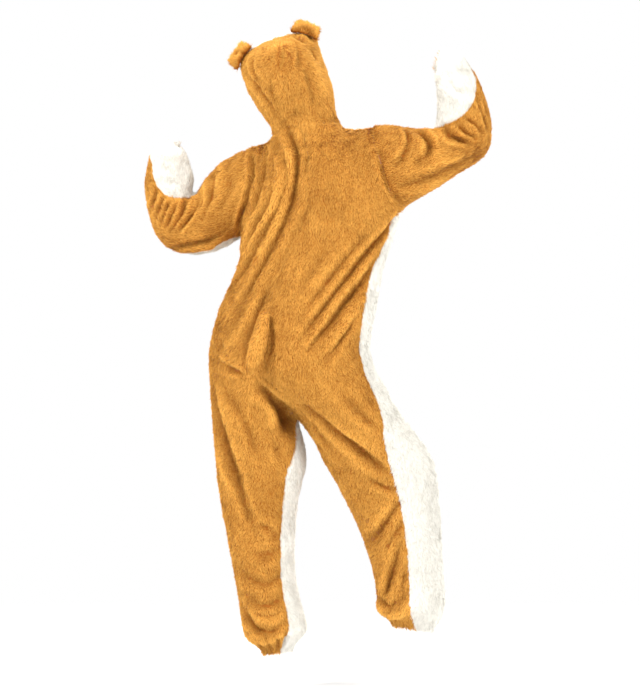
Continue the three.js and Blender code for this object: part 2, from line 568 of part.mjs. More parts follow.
// A closed wall over some faces of the cloth. Its outer side is rise above the cloth, and it is thick(i) deep.
function wall(faces, out, rise, thick) {
  const outer = new Map();
  const edges = new Map();
  for (const { corners } of faces) {
    corners.forEach((a, k) => {
      const b = corners[(k + 1) % 4];
      const back = b + "_" + a;
      if (edges.has(back)) edges.delete(back);
      else edges.set(a + "_" + b, [a, b]);
    });
  }
  const inward = new Map();
  for (const [a, b] of edges.values()) {
    const along = cloth.points[b].clone().sub(cloth.points[a]);
    for (const i of [a, b]) {
      const across = out[i].clone().cross(along).normalize();
      if (!inward.has(i)) inward.set(i, []);
      inward.get(i).push(across);
    }
  }
  const positions = [];
  const place = (i) => {
    if (outer.has(i)) return outer.get(i);
    const shift = point(0, 0, 0);
    const sides = inward.get(i) || [];
    for (const across of sides) shift.add(across);
    if (sides.length > 1) shift.divideScalar(Math.max(0.5, 1 + sides[0].dot(sides[1])));
    shift.multiplyScalar((SEAM_GAP / 2) * 1.15);
    const base = cloth.points[i].clone().add(shift);
    const top = base.clone().addScaledVector(out[i], rise);
    const under = top.clone().addScaledVector(out[i], -thick(i));
    const id = positions.length / 3;
    positions.push(top.x, top.y, top.z, under.x, under.y, under.z);
    outer.set(i, id);
    return id;
  };
  const triangles = [];
  const shorter = (a, b, c, d) =>
    cloth.points[a].distanceTo(cloth.points[c]) <= cloth.points[b].distanceTo(cloth.points[d]);
  for (const { corners } of faces) {
    const [a, b, c, d] = corners;
    const halves = shorter(a, b, c, d) ? [[a, b, c], [a, c, d]] : [[a, b, d], [b, c, d]];
    for (const half of halves) {
      const [p, q, r] = half.map(place);
      triangles.push(p, q, r, p + 1, r + 1, q + 1);
    }
  }
  for (const [a, b] of edges.values()) {
    const [p, q] = [place(a), place(b)];
    if (a < b) triangles.push(p, p + 1, q + 1, p, q + 1, q);
    else triangles.push(p, p + 1, q, p + 1, q + 1, q);
  }
  const geometry = new THREE.BufferGeometry();
  geometry.setAttribute("position", new THREE.Float32BufferAttribute(positions, 3));
  geometry.setIndex(triangles);
  return geometry;
}

// A geometry as a solid that can be cut.
function solid(geometry) {
  return new kit.Manifold(
    new kit.Mesh({
      numProp: 3,
      vertProperties: Float32Array.from(geometry.getAttribute("position").array),
      triVerts: Uint32Array.from(geometry.index.array),
    }),
  );
}

// What is left of a stuffed piece outside the cloth that it is sewn on.
function stitchedOn(geometry, cloth) {
  const pieces = solid(geometry).subtract(cloth).decompose();
  pieces.sort((a, b) => b.volume() - a.volume());
  const mesh = pieces[0].getMesh();
  const cut = new THREE.BufferGeometry();
  cut.setAttribute("position", new THREE.Float32BufferAttribute(mesh.vertProperties, mesh.numProp));
  cut.setIndex(Array.from(mesh.triVerts));
  return cut;
}

// A closed skin over rings of points, each with the same count, with a flat end at either side.
function skin(rings) {
  const count = rings[0].length;
  const positions = rings.flat().flatMap((p) => p.toArray());
  const triangles = [];
  for (let i = 0; i + 1 < rings.length; i++) {
    for (let j = 0; j < count; j++) {
      const a = i * count + j;
      const b = i * count + ((j + 1) % count);
      triangles.push(a, b, b + count, a, b + count, a + count);
    }
  }
  const last = (rings.length - 1) * count;
  for (let j = 1; j + 1 < count; j++) {
    triangles.push(0, j + 1, j, last, last + j, last + j + 1);
  }
  const geometry = new THREE.BufferGeometry();
  geometry.setAttribute("position", new THREE.Float32BufferAttribute(positions, 3));
  geometry.setIndex(triangles);
  return geometry;
}

// The ear of one side: a flat ring at each row, square to the way that the flap runs there.
function ear(side) {
  const slope = turned(EAR.slope);
  const along = point(Math.cos(slope), 0, Math.sin(slope));
  const up = point(-Math.sin(slope), 0, Math.cos(slope));
  const rings = EAR_ROWS.map((row, i) => {
    const before = EAR_ROWS[Math.max(0, i - 1)];
    const after = EAR_ROWS[Math.min(EAR_ROWS.length - 1, i + 1)];
    const run = new THREE.Vector2(after.up - before.up, after.forward - before.forward).normalize();
    const ring = [];
    for (let k = 0; k < EAR_SIDES; k++) {
      const around = (2 * Math.PI * k) / EAR_SIDES;
      const thick = EAR.half * Math.sin(around);
      const rise = row.up - run.y * thick;
      const p = point(EAR.x, EAR.y - row.forward - run.x * thick, EAR.z)
        .addScaledVector(along, row.wide * Math.cos(around))
        .addScaledVector(up, rise);
      ring.push(hoodPoint(p, side));
    }
    return side > 0 ? ring.reverse() : ring;
  });
  return skin(rings);
}

// The tail: an oval ring at each section.
function tail() {
  const facing = turned(TRUNK[5].turn);
  const rings = TAIL.map((section) => {
    const ring = [];
    for (let k = 0; k < TAIL_SIDES; k++) {
      const around = (-2 * Math.PI * k) / TAIL_SIDES;
      const out = section.across * Math.cos(around);
      const back = section.through * Math.sin(around);
      const x = out * Math.cos(facing) + back * Math.sin(facing);
      const y = back * Math.cos(facing) - out * Math.sin(facing);
      ring.push(point(section.x + x, section.y + y, section.z));
    }
    return ring;
  });
  return skin(rings);
}

const costume = new THREE.Group();

function addPiece(name, geometry, material) {
  const mesh = new THREE.Mesh(geometry, material);
  mesh.name = name;
  costume.add(mesh);
}

const leftBody = bodyHalf(1, LEFT_LEG);
const rightBody = bodyHalf(-1, RIGHT_LEG);
const leftSleeve = sleeve(1, LEFT_SLEEVE);
const rightSleeve = sleeve(-1, RIGHT_SLEEVE);
hoodHalf(1);
hoodHalf(-1);
const gathered = [...leftBody.slice(-3), ...rightBody.slice(-3), ...leftSleeve.slice(-2), ...rightSleeve.slice(-2)];
settle(new Set(gathered.flat()));
shape();

const outward = normals();
const casings = [leftBody, rightBody, leftSleeve, rightSleeve].flatMap((rows) => rows.slice(-2));
const hemPoints = new Set(casings.flat());
const plushAt = (i) => (hemPoints.has(i) ? HEM_PLUSH : PLUSH);
for (const name of new Set(cloth.faces.map((face) => face.panel))) {
  const faces = cloth.faces.filter((face) => face.panel === name);
  addPiece(name, wall(faces, outward, 0, plushAt), name.includes("front") ? CREAM : TAN);
}

const lapped = cloth.faces.filter((face) => face.lapped);
addPiece("front_placket", wall(lapped, outward, TRIM_GAP + PLACKET_THICK, () => PLACKET_THICK), CREAM);

const hoodFaces = cloth.faces.filter((face) => face.panel.startsWith("hood"));
const backFaces = cloth.faces.filter((face) => face.panel.startsWith("back"));
const hoodWall = solid(wall(hoodFaces, outward, TRIM_GAP, () => PLUSH));
const backWall = solid(wall(backFaces, outward, TRIM_GAP, () => PLUSH));
addPiece("ear_left", stitchedOn(ear(1), hoodWall), TAN);
addPiece("ear_right", stitchedOn(ear(-1), hoodWall), TAN);
addPiece("tail", stitchedOn(tail(), backWall), TAN);

export default costume;
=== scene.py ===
import math

import bmesh
import bpy
import numpy as np
from bpy.props import FloatProperty, FloatVectorProperty, IntProperty, PointerProperty
from mathutils import Matrix, Vector, kdtree, noise


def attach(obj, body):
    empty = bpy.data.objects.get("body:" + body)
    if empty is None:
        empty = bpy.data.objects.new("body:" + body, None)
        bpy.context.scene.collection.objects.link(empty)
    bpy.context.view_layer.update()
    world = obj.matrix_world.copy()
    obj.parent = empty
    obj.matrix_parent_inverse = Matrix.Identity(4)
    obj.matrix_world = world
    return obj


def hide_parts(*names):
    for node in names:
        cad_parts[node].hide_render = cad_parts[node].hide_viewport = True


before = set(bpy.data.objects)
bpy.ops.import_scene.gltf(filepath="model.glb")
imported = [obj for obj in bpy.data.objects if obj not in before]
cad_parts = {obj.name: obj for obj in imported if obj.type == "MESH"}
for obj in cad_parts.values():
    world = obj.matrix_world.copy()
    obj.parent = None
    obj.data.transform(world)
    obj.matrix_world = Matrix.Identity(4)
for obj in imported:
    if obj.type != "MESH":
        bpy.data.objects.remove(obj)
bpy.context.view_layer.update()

bl_info = {
    "name": "Plush bulldog jumpsuit",
    "version": (1, 0, 0),
    "blender": (4, 5, 0),
    "location": "3D View > Sidebar > Jumpsuit",
    "description": "Plush panels with their pile, folded ears, a stuffed tail and a plain studio",
    "category": "Object",
}

# The cut panels: node, plush, flat width and length in metres, share of that rectangle that is cut, held.
PANELS = [
    ("back_left", "tan", (0.44, 1.45), 0.62, "hung"),
    ("back_right", "tan", (0.44, 1.45), 0.62, "hung"),
    ("front_left", "cream", (0.44, 1.45), 0.62, "hung"),
    ("front_right", "cream", (0.48, 1.45), 0.62, "hung"),
    ("sleeve_left_back", "tan", (0.25, 0.6), 0.7, "hung"),
    ("sleeve_left_front", "cream", (0.25, 0.6), 0.7, "hung"),
    ("sleeve_right_back", "tan", (0.26, 0.62), 0.7, "hung"),
    ("sleeve_right_front", "cream", (0.24, 0.6), 0.7, "hung"),
    ("hood_back_left", "tan", (0.26, 0.34), 0.7, "draped"),
    ("hood_back_right", "tan", (0.26, 0.34), 0.7, "draped"),
    ("hood_front_left", "cream", (0.12, 0.36), 0.75, "draped"),
    ("hood_front_right", "cream", (0.12, 0.36), 0.75, "draped"),
]
SLEEVES = (4, 5, 6, 7)
PLACKET = ("front_placket", "cream", (0.07, 0.5), 0.9, "hung")

# Creases pressed into the cloth, in millimetres: side (1 back, -1 front, 0 all round), half width, depth, and the
# line as X, Z, X, Z and so on. A depth below zero is a roll that stands out.
# Each crease also leaves painted shade in its hollow and a painted highlight on its ridges and rolls.
CREASES = [
    # back, from the neck seam to the left side
    (1, 7, 11, (65, 21, 44, -18, 29, -55, 29, -99, 37, -156, 52, -211, 76, -265, 104, -317, 133, -369, 161, -419,
        195, -466)),
    (1, 5, 5, (13, -13, 3, -52, 5, -94, 10, -133)),
    (1, 4, -4, (24, -21, 16, -63, 18, -109, 26, -156)),
    (1, 6, 9, (63, -63, 55, -99, 60, -151, 76, -198, 99, -234, 128, -281, 151, -325, 180, -367, 208, -411,
        232, -450)),
    (1, 5, 8, (94, -135, 99, -169, 115, -200, 133, -234, 148, -271, 161, -302)),
    (1, 5, 7, (109, -68, 117, -104, 122, -141, 133, -177, 138, -208)),
    (1, 4, 4, (128, -52, 128, -86, 130, -120)),
    (1, 4, 4, (81, -21, 89, -52, 104, -86)),
    (1, 4, 4, (112, -18, 122, -47, 130, -73)),
    (1, 4, 4, (146, -260, 167, -302, 190, -343, 214, -390)),
    (1, 8, 9, (94, -385, 112, -421, 128, -458, 141, -494, 156, -533, 172, -567)),
    (1, 12, 4, (-5, -172, 13, -234, 31, -297, 55, -359, 76, -411)),
    (1, 9, -3, (13, -245, 31, -302, 55, -364, 73, -416)),
    (1, 11, 5, (156, -437, 182, -479, 214, -515)),
    (1, 6, -5, (46, -60, 40, -110, 48, -160, 62, -210, 84, -255, 112, -300, 140, -350, 168, -395)),
    (1, 6, -5, (84, -60, 78, -110, 86, -165, 106, -215, 134, -262, 160, -310, 186, -352, 212, -398)),
    (1, 5, -5, (112, -120, 118, -165, 134, -205, 150, -240, 166, -275, 186, -318, 208, -360)),
    # small of the back and the right side seam
    (1, 6, 10, (-237, -216, -203, -258, -167, -299, -130, -343, -94, -390, -55, -440, -16, -489, 21, -539)),
    (1, 7, 9, (-177, -330, -146, -380, -109, -427, -73, -474, -34, -523, 0, -567)),
    (1, 5, -5, (-172, -317, -138, -362, -99, -414, -60, -466, -23, -515, 8, -557)),
    (1, 6, -5, (-143, -429, -112, -481, -78, -531, -44, -572)),
    (1, 8, 6, (-127, -468, -101, -513, -70, -557, -42, -593)),
    (1, 6, -4, (-211, -226, -164, -281, -114, -338, -68, -393, -21, -448, 18, -497)),
    (1, 10, 6, (-146, -276, -107, -323, -65, -375, -21, -429, 24, -484)),
    (1, 9, -3, (-91, -302, -49, -359, -8, -416, 29, -463)),
    (1, 11, 4, (-47, -307, -10, -364, 26, -421)),
    # seat
    (1, 6, 7, (224, -598, 193, -619, 159, -632)),
    (1, 5, -4, (237, -572, 203, -598, 167, -611)),
    # a deep trough, whose painted shade stands for the shadow of the right leg's cloth on the inner left thigh
    (1, 12, 12, (120, -663, 86, -697, 60, -734, 52, -770)),
    (1, 5, -5, (135, -632, 99, -661, 63, -692, 29, -726)),
    (1, 10, 5, (224, -531, 240, -572, 253, -609)),
    # left leg
    (1, 9, 8, (258, -624, 247, -679, 232, -744, 211, -822, 187, -895, 164, -965, 138, -1030)),
    (1, 7, -4, (247, -640, 229, -708, 203, -786, 174, -864, 151, -936, 128, -1004)),
    (1, 10, 5, (224, -656, 187, -710, 154, -770, 128, -832)),
    (1, 8, 4, (99, -770, 81, -817, 63, -869)),
    (1, 8, 6, (128, -1015, 99, -1028, 68, -1056)),
    (1, 7, -3, (133, -996, 104, -1009, 70, -1035)),
    (1, 8, 5, (146, -1082, 109, -1095, 68, -1072)),
    (1, 8, 5, (182, -1129, 146, -1158, 104, -1168, 65, -1145)),
    (1, 8, 5, (169, -1191, 135, -1217, 99, -1223, 63, -1202)),
    (1, 9, 8, (180, -1212, 161, -1254, 135, -1285, 94, -1293, 60, -1275)),
    (1, 6, -4, (159, -1228, 130, -1259, 94, -1267, 63, -1249)),
    # right leg
    (1, 8, 9, (13, -708, -26, -739, -68, -775, -107, -804, -143, -835, -180, -864, -216, -887)),
    (1, 5, -4, (-44, -736, -88, -773, -130, -801, -169, -832, -208, -861)),
    (1, 9, 6, (-94, -684, -122, -713, -151, -741, -177, -767)),
    (1, 8, 4, (21, -734, -26, -786, -68, -832)),
    (1, 7, 6, (-161, -900, -198, -921, -232, -929)),
    (1, 8, 9, (-237, -960, -219, -986, -200, -1015, -180, -1041, -156, -1064)),
    (1, 6, -4, (-229, -947, -203, -978, -182, -1007, -159, -1030)),
    (1, 7, 5, (-245, -1009, -224, -1046, -203, -1082)),
    (1, 6, 9, (-237, -1069, -229, -1106, -216, -1147, -203, -1191, -193, -1223)),
    (1, 5, 6, (-250, -1126, -245, -1165, -239, -1191)),
    # rolls and short folds over the gathered hems and cuffs
    (0, 8, -6, (162, -1300, 135, -1319, 104, -1319, 73, -1300, 57, -1276)),
    (0, 8, -7, (-182, -1233, -198, -1251, -224, -1259, -250, -1244, -272, -1226)),
    (1, 7, 8, (-172, -1200, -182, -1212, -198, -1226, -216, -1228, -244, -1207, -256, -1186)),
    (0, 10, -6, (410, -62, 384, -50, 352, -48, 318, -62)),
    (0, 10, -6, (-350, 196, -380, 186, -346, 152, -324, 130)),
    (1, 4, 6, (118, -1343, 134, -1318, 152, -1292)),
    (1, 4, 6, (99, -1344, 105, -1318, 118, -1290)),
    (1, 4, 6, (80, -1343, 78, -1318, 88, -1290)),
    (1, 4, 6, (64, -1338, 58, -1312, 60, -1286)),
    (1, 4, 6, (-180, -1240, -194, -1222, -204, -1200)),
    (1, 4, 6, (-204, -1262, -214, -1240, -222, -1216)),
    (1, 4, 6, (-226, -1266, -234, -1246, -240, -1222)),
    # round the tail, where their painted shade stands for the tail's shadow on the back
    (1, 6, 4, (128, -487, 143, -520, 158, -562, 164, -600, 160, -628)),
    (1, 5, 2, (98, -492, 94, -530, 98, -570, 108, -604, 118, -630)),
    # left sleeve
    (1, 5, 7, (396, -154, 404, -182, 411, -216)),
    (1, 5, 7, (375, -172, 388, -198, 398, -232)),
    (1, 5, 6, (357, -185, 372, -208, 383, -242)),
    (1, 5, 6, (336, -190, 354, -219, 370, -252)),
    (1, 5, 6, (310, -172, 320, -200, 338, -232, 359, -263)),
    (1, 4, -4, (327, -172, 336, -198, 350, -229)),
    (1, 5, 6, (284, -169, 294, -200, 312, -229, 333, -263)),
    (1, 4, -4, (297, -158, 307, -190, 326, -229)),
    (1, 5, 5, (273, -141, 276, -172, 286, -208)),
    (1, 7, 7, (245, -94, 247, -135, 255, -174, 273, -219)),
    (1, 8, 4, (195, -104, 206, -148, 221, -193)),
    (1, 4, -4, (273, -180, 292, -216, 312, -247, 333, -271)),
    (1, 4, -3, (323, -185, 338, -211, 357, -239)),
    (1, 9, -4, (221, -78, 232, -115, 245, -151)),
    (1, 5, 9, (359, -304, 323, -299, 286, -291, 253, -284, 219, -268)),
    (1, 8, 4, (289, -284, 247, -271, 203, -252)),
    (1, 5, 8, (146, -55, 143, -86, 146, -117, 156, -148, 161, -180, 172, -213, 180, -250)),
    (1, 7, 2, (378, -120, 354, -133, 323, -135)),
    (1, 7, 2, (391, -81, 364, -102, 331, -107)),
    # right sleeve
    (1, 6, 8, (-247, 10, -255, -21, -250, -47, -239, -73, -221, -99)),
    (1, 6, 9, (-260, 5, -286, -8, -304, -31, -307, -52, -297, -73, -273, -91)),
    (1, 5, -4, (-271, 13, -302, 0, -323, -26, -323, -57)),
    (1, 6, 8, (-344, 2, -359, -18, -383, -31, -411, -44)),
    (1, 5, 7, (-380, 8, -401, -11, -427, -26)),
    (1, 5, 6, (-403, 23, -429, 8, -453, -18)),
    (1, 4, 6, (-437, 75, -448, 44, -458, 13, -468, -21)),
    (1, 4, 5, (-453, 83, -463, 47, -471, 10)),
    (1, 9, 6, (-234, -151, -286, -138, -338, -117, -390, -94, -448, -68)),
    (1, 6, -4, (-245, -120, -304, -104, -364, -86, -422, -65)),
    (1, 6, -4, (-271, -164, -328, -143, -385, -115, -432, -91)),
    (1, 4, 4, (-177, -47, -182, -89, -195, -135, -219, -172, -242, -200)),
    (1, 7, 4, (-362, 114, -385, 94, -416, 88)),
    (1, 6, 3, (-370, 172, -390, 151, -422, 146)),
    # ears
    (1, 5, 6, (31, 252, 16, 263, 0, 257, -13, 239)),
    (1, 4, 5, (52, 265, 34, 247, 13, 234, -8, 231)),
    (1, 4, 5, (193, 195, 177, 205, 159, 198)),
    (1, 4, 5, (146, 213, 161, 195, 172, 174, 180, 156)),
    # hood
    (1, 6, 7, (167, 182, 154, 143, 133, 112, 109, 80, 89, 47, 70, 18)),
    (1, 5, 5, (143, 192, 146, 164, 135, 135, 117, 104)),
    (1, 5, -3, (156, 198, 156, 166, 146, 138, 128, 109)),
    (1, 8, 4, (99, 135, 96, 99, 83, 67, 73, 41)),
    (1, 5, 5, (-8, 221, -16, 203, -23, 182)),
    (1, 8, -4, (-13, 187, -29, 140, -47, 91, -65, 47)),
    (1, 6, 3, (10, 172, -3, 130, -13, 91, -16, 62)),
    (1, 6, 4, (31, 224, 24, 192, 21, 156)),
    (1, 6, 3, (70, 229, 63, 192, 68, 156)),
    (1, 9, 3, (68, 28, 24, 41, -26, 41, -75, 28)),
    # a low roll, whose painted highlight pales the right side of the hood
    (1, 13, -3, (-18, 190, -34, 140, -50, 90, -60, 50)),
    (1, 10, -3, (120, 190, 80, 215, 40, 222, 10, 214)),
    # front of the body
    (-1, 12, 8, (-150, -200, -110, -290, -40, -380)),
    (-1, 11, 7, (-178, -280, -120, -370, -50, -440)),
    (-1, 12, 7, (170, -210, 140, -300, 70, -390)),
    (-1, 10, 6, (190, -290, 150, -370, 90, -440)),
    (-1, 10, 5, (-60, -90, -76, -170, -64, -250)),
    (-1, 9, 5, (76, -70, 96, -150, 92, -230)),
    (-1, 12, 7, (180, -600, 110, -660, 30, -700)),
    (-1, 11, 7, (-150, -600, -70, -660, 0, -706)),
    (-1, 10, 5, (150, -520, 80, -590, 20, -620)),
    # front of the legs
    (-1, 13, 7, (60, -760, 110, -830, 180, -880)),
    (-1, 11, 6, (190, -940, 130, -990, 84, -1000)),
    (-1, 10, 6, (180, -1000, 120, -1050, 66, -1060)),
    (-1, 9, 6, (160, -1120, 110, -1150, 60, -1140)),
    (-1, 9, 7, (146, -1250, 100, -1272, 50, -1260)),
    (-1, 13, 7, (-40, -760, -110, -820, -200, -860)),
    (-1, 11, 7, (-280, -930, -220, -980, -150, -990)),
    (-1, 10, 6, (-300, -990, -240, -1040, -170, -1050)),
    (-1, 9, 6, (-330, -1120, -280, -1150, -230, -1140)),
    (-1, 9, 7, (-340, -1200, -290, -1226, -220, -1220)),
    # front of the sleeves
    (-1, 9, 6, (200, -110, 236, -170, 240, -230)),
    (-1, 9, 6, (250, -140, 276, -190, 280, -250)),
    (-1, 8, 6, (320, -170, 350, -200, 400, -206)),
    (-1, 8, 5, (330, -110, 366, -130, 410, -124)),
    (-1, 9, 6, (-190, -40, -206, -90, -196, -140)),
    (-1, 9, 6, (-260, -20, -276, -70, -262, -120)),
    (-1, 8, 6, (-350, 20, -400, 10, -450, 24)),
    (-1, 8, 5, (-340, 80, -390, 76, -440, 90)),
]

# Where the pile of the sleeves lies, in millimetres: a point on the sleeve and the way the pile runs there.
SLEEVE_NAP = [
    ((160, -75, -150), (1, 0, -0.5)),
    ((290, -100, -220), (1, 0, -0.25)),
    ((350, -107, -230), (0.8, 0, 0.5)),
    ((365, -105, -130), (0, 0, 1)),
    ((358, -92, -30), (-0.1, 0, 1)),
    ((-240, 90, -100), (-1, 0, 0.25)),
    ((-350, 103, -70), (-1, 0, 0.3)),
    ((-430, 108, -20), (-0.5, 0, 1)),
    ((-400, 108, 90), (0.1, 0, 1)),
    ((-350, 103, 170), (0.8, 0, 0.5)),
]

# Gathered edges, in millimetres: the middle of each hem and cuff, and how many puckers go round it.
GATHERS = [
    ((80, 18, -1335), 17),
    ((-272, -50, -1305), 15),
    ((352, -90, -10), 13),
    ((-328, 103, 192), 14),
]

# How the solids are read and sewn, in metres: their walls' thicknesses, how exactly an edge matches one, how close
# two points are one, and the gap that a seam closes.
WALLS = (0.008, 0.006, 0.005)
WALL_SLACK = 4e-6
SAME_POINT = 1e-5
SEAM_GAP = 0.0007

# Along a crease its width and depth wander by these shares, in so many waves.
WIDTH_MEAN, WIDTH_WANDER, WIDTH_WAVES = 1.35, 0.35, 5.1
DEPTH_WANDER, DEPTH_WAVES = 0.18, 9.0
# Across a crease, in its half widths: how far it reaches, how steep its sides and how round its bottom are, and
# where its two ridges stand, how wide they are and how high beside its depth.
CREASE_REACH = 5
STEEPNESS, BOTTOM = 1.5, 0.03
RIDGE_AT, RIDGE_WIDTH, RIDGE_HEIGHTS = 1.9, 0.9, (0.42, 0.22)
# The furthest that creases move the cloth in and out, in metres.
MOST_IN, MOST_OUT = -0.02, 0.014

# Painted highlight per millimetre of ridge, painted shade per millimetre of sinking, and more painted shade in the
# darkest lines.
PAINTED_RIDGE_HIGHLIGHT, PAINTED_SINK_SHADE, PAINTED_LINE_SHADE = 0.13, 0.03, 0.75
LINE_DEPTH, LINE_BEND = 7, 1.2

# Swells: for each its share, its size in metres and the number of its pattern.
TURN_SWELLS = ((0.30, 0.055, 1), (0.3, 0.017, 2))
RISE_SWELLS = ((0.16, 0.02, 3),)
TONE_SWELLS = ((0.4, 0.07, 4), (0.25, 0.022, 5), (0.4, 0.008, 6))
CLOTH_SWELLS = ((0.6, 0.085, 7), (0.4, 0.03, 8))
STUFFED_SWELLS = ((0.6, 0.03, 9), (0.4, 0.012, 9))
PLACKET_SWELLS = ((0.0012, 0.04, 10),)
PLACKET_SINK = 0.75  # of the pile's depth
TONE_MEAN, TONE_SPREAD = 0.6, 0.3

# Seams and open edges, in metres: how deep and how far a seam draws the cloth in, how far from an open edge the cloth
# lies still and its puckers reach, and how much longer the pile is there.
SEAM_DEPTH, SEAM_REACH = 0.0026, 0.006
STILL_REACH, PUCKER_REACH, PUCKER_ZONE = 0.012, 0.02, 0.1
SEAM_FAR, EDGE_FAR = 0.05, 0.08  # beyond these a seam or an edge has no effect
EDGE_LONGER, EDGE_LONG_REACH = 0.25, 0.015
SEAM_LONGER, SEAM_LONG_REACH = 0.3, 0.008

# Over the hood the pile leans forward: the height where that starts, over what height it grows, and how far.
HOOD_START, HOOD_RISE = 0.04, 0.12
NAP_FORWARD, HOOD_FORWARD = 0.2, 1.1
NAP_REACH = 70.0  # millimetres around a point of SLEEVE_NAP
SLEEVE_EASE = 24  # rounds of averaging across an armhole

# Ears and tail: rounds of averaging, how far the cloth lies in, how far it puffs, the tone added, how long the pile
# is, and how full they are stuffed.
EAR = {"rounds": 110, "sink": -0.0025, "puff": 0.0035, "pale": 0.05, "reach": 1.5, "fill": 0.4}
TAIL = {"rounds": 20, "sink": 0.002, "puff": 0.0014, "pale": 0.3, "reach": 1.1, "fill": 0.8}
STUFFED_CREASE = 0.6
# Painted light from above: how much paler the tops of the ears and tail are, and darker their undersides.
PAINTED_TOP_LIGHT = 0.35
HOOD_MIDDLE = (0.054, 0.012, 0.122)
TAIL_NAP = (0.15, 0.1, -1.0)

# Locks of pile: noise scales of tufts and wisps, how far each turns a lock, how far a lock turns and rolls by chance,
# and the ranges of its length and width.
TUFT_SCALE, WISP_SCALE = 95.0, 230.0
TUFT_TURN, WISP_TURN, LOOSE_TURN, ROLL = 0.9, 0.7, 0.17, 0.55
LENGTHS, WIDTHS = (0.8, 1.1), (0.7, 1.3)
CROWN_LONGER, LEAST_LENGTH = 0.3, 0.8
SURFACE_NORMAL = 0.3  # share of the cloth's own normal in the shading of a lock

# The studio, in metres: each light's name, place, aim and size, and which strength it has a share of.
LIGHTS = (
    ("key", (3.2, 3.4, 2.8), (0, 0, -0.4), 1.1, "key", 1.0),
    ("fill", (-3.6, 2.8, 1.4), (0, 0, -0.4), 1.8, "fill", 1.0),
    ("rim", (-0.9, -2.4, 3.6), (0, 0, -0.3), 2.4, "fill", 0.8),
)
FLOOR_RADIUS, FADE_START, FADE_END = 5.0, 2.0, 4.5
CAMERA_PLACE = (-0.0312, 12.0, -0.5668)
VIEW_HEIGHT = 1.82
SENSOR = 36  # millimetres


def metres(name, default, low, high, description):
    return FloatProperty(name=name, description=description, default=default, min=low, max=high, unit="LENGTH")


def paint(name, default, description):
    return FloatVectorProperty(name=name, description=description, subtype="COLOR", default=default, min=0.0, max=1.0)


def power(name, default, description):
    return FloatProperty(name=name, description=description, default=default, min=0.0)


class JumpsuitCloth(bpy.types.PropertyGroup):
    pile_depth: metres("Pile depth", 0.0052, 0.001, 0.0054, "How far the knit lies under the tips of the pile")
    knit: metres("Knit", 0.0024, 0.001, 0.004, "Thickness of the knit that the pile stands on")
    crease: FloatProperty(
        name="Crease", description="How deep the creases are pressed, as a share of their own depths",
        default=1.7, min=0.0, max=2.5, subtype="FACTOR",
    )
    lumps: metres("Lumps", 0.0022, 0.0, 0.006, "How far the cloth swells and sinks between the creases")
    pucker: metres("Pucker", 0.0024, 0.0, 0.005, "How far a gathered edge waves in and out")


class JumpsuitPile(bpy.types.PropertyGroup):
    length: metres("Length", 0.0088, 0.004, 0.03, "Length of a lock of pile")
    width: metres("Width", 0.0017, 0.0005, 0.005, "Width of a lock at its root")
    density: FloatProperty(
        name="Density", description="Locks on a square metre of knit", default=345000.0, min=1000.0, max=400000.0,
    )
    lean: FloatProperty(
        name="Lean", description="How far the locks stand up from the knit",
        default=math.radians(23), min=0.1, max=1.5, subtype="ANGLE",
    )
    seed: IntProperty(name="Seed", description="Which scatter of locks is made", default=7, min=0)


class JumpsuitColours(bpy.types.PropertyGroup):
    tan_root: paint("Tan root", (0.40, 0.12, 0.007), "Tan pile, deep at its roots")
    tan_tip: paint("Tan tip", (0.84, 0.465, 0.095), "Tan pile, at its tips")
    cream_root: paint("Cream root", (0.85, 0.82, 0.74), "Cream pile, deep at its roots")
    cream_tip: paint("Cream tip", (0.865, 0.85, 0.805), "Cream pile, at its tips")


class JumpsuitStage(bpy.types.PropertyGroup):
    floor: FloatProperty(name="Floor", description="Height of the floor", default=-1.451, unit="LENGTH")
    key: power("Key light", 318.0, "Strength of the large soft light")
    fill: power("Fill light", 172.0, "Strength of the light on the other side")
    sky: power("Sky", 0.66, "Strength of the even light all round")


# ---- materials ----


def adder(tree):
    """A shorthand that adds a node to the tree with its settings and its inputs, either values or links."""

    def add(kind, inputs=(), **settings):
        node = tree.nodes.new(kind)
        for key, value in settings.items():
            setattr(node, key, value)
        for key, value in dict(inputs).items():
            if isinstance(value, bpy.types.NodeSocket):
                tree.links.new(value, node.inputs[key])
            else:
                node.inputs[key].default_value = value
        return node

    return add


def material(name):
    """An empty node material and the shorthand that fills it."""
    mat = bpy.data.materials.new(name)
    mat.use_nodes = True
    mat.node_tree.nodes.clear()
    return mat, adder(mat.node_tree)


def ramp(add, factor, stops):
    node = add("ShaderNodeValToRGB", {"Fac": factor})
    elements = node.color_ramp.elements
    while len(elements) < len(stops):
        elements.new(0.5)
    for element, (place, colour) in zip(elements, stops):
        element.position = place
        element.color = (*colour, 1)
    return node.outputs["Color"]


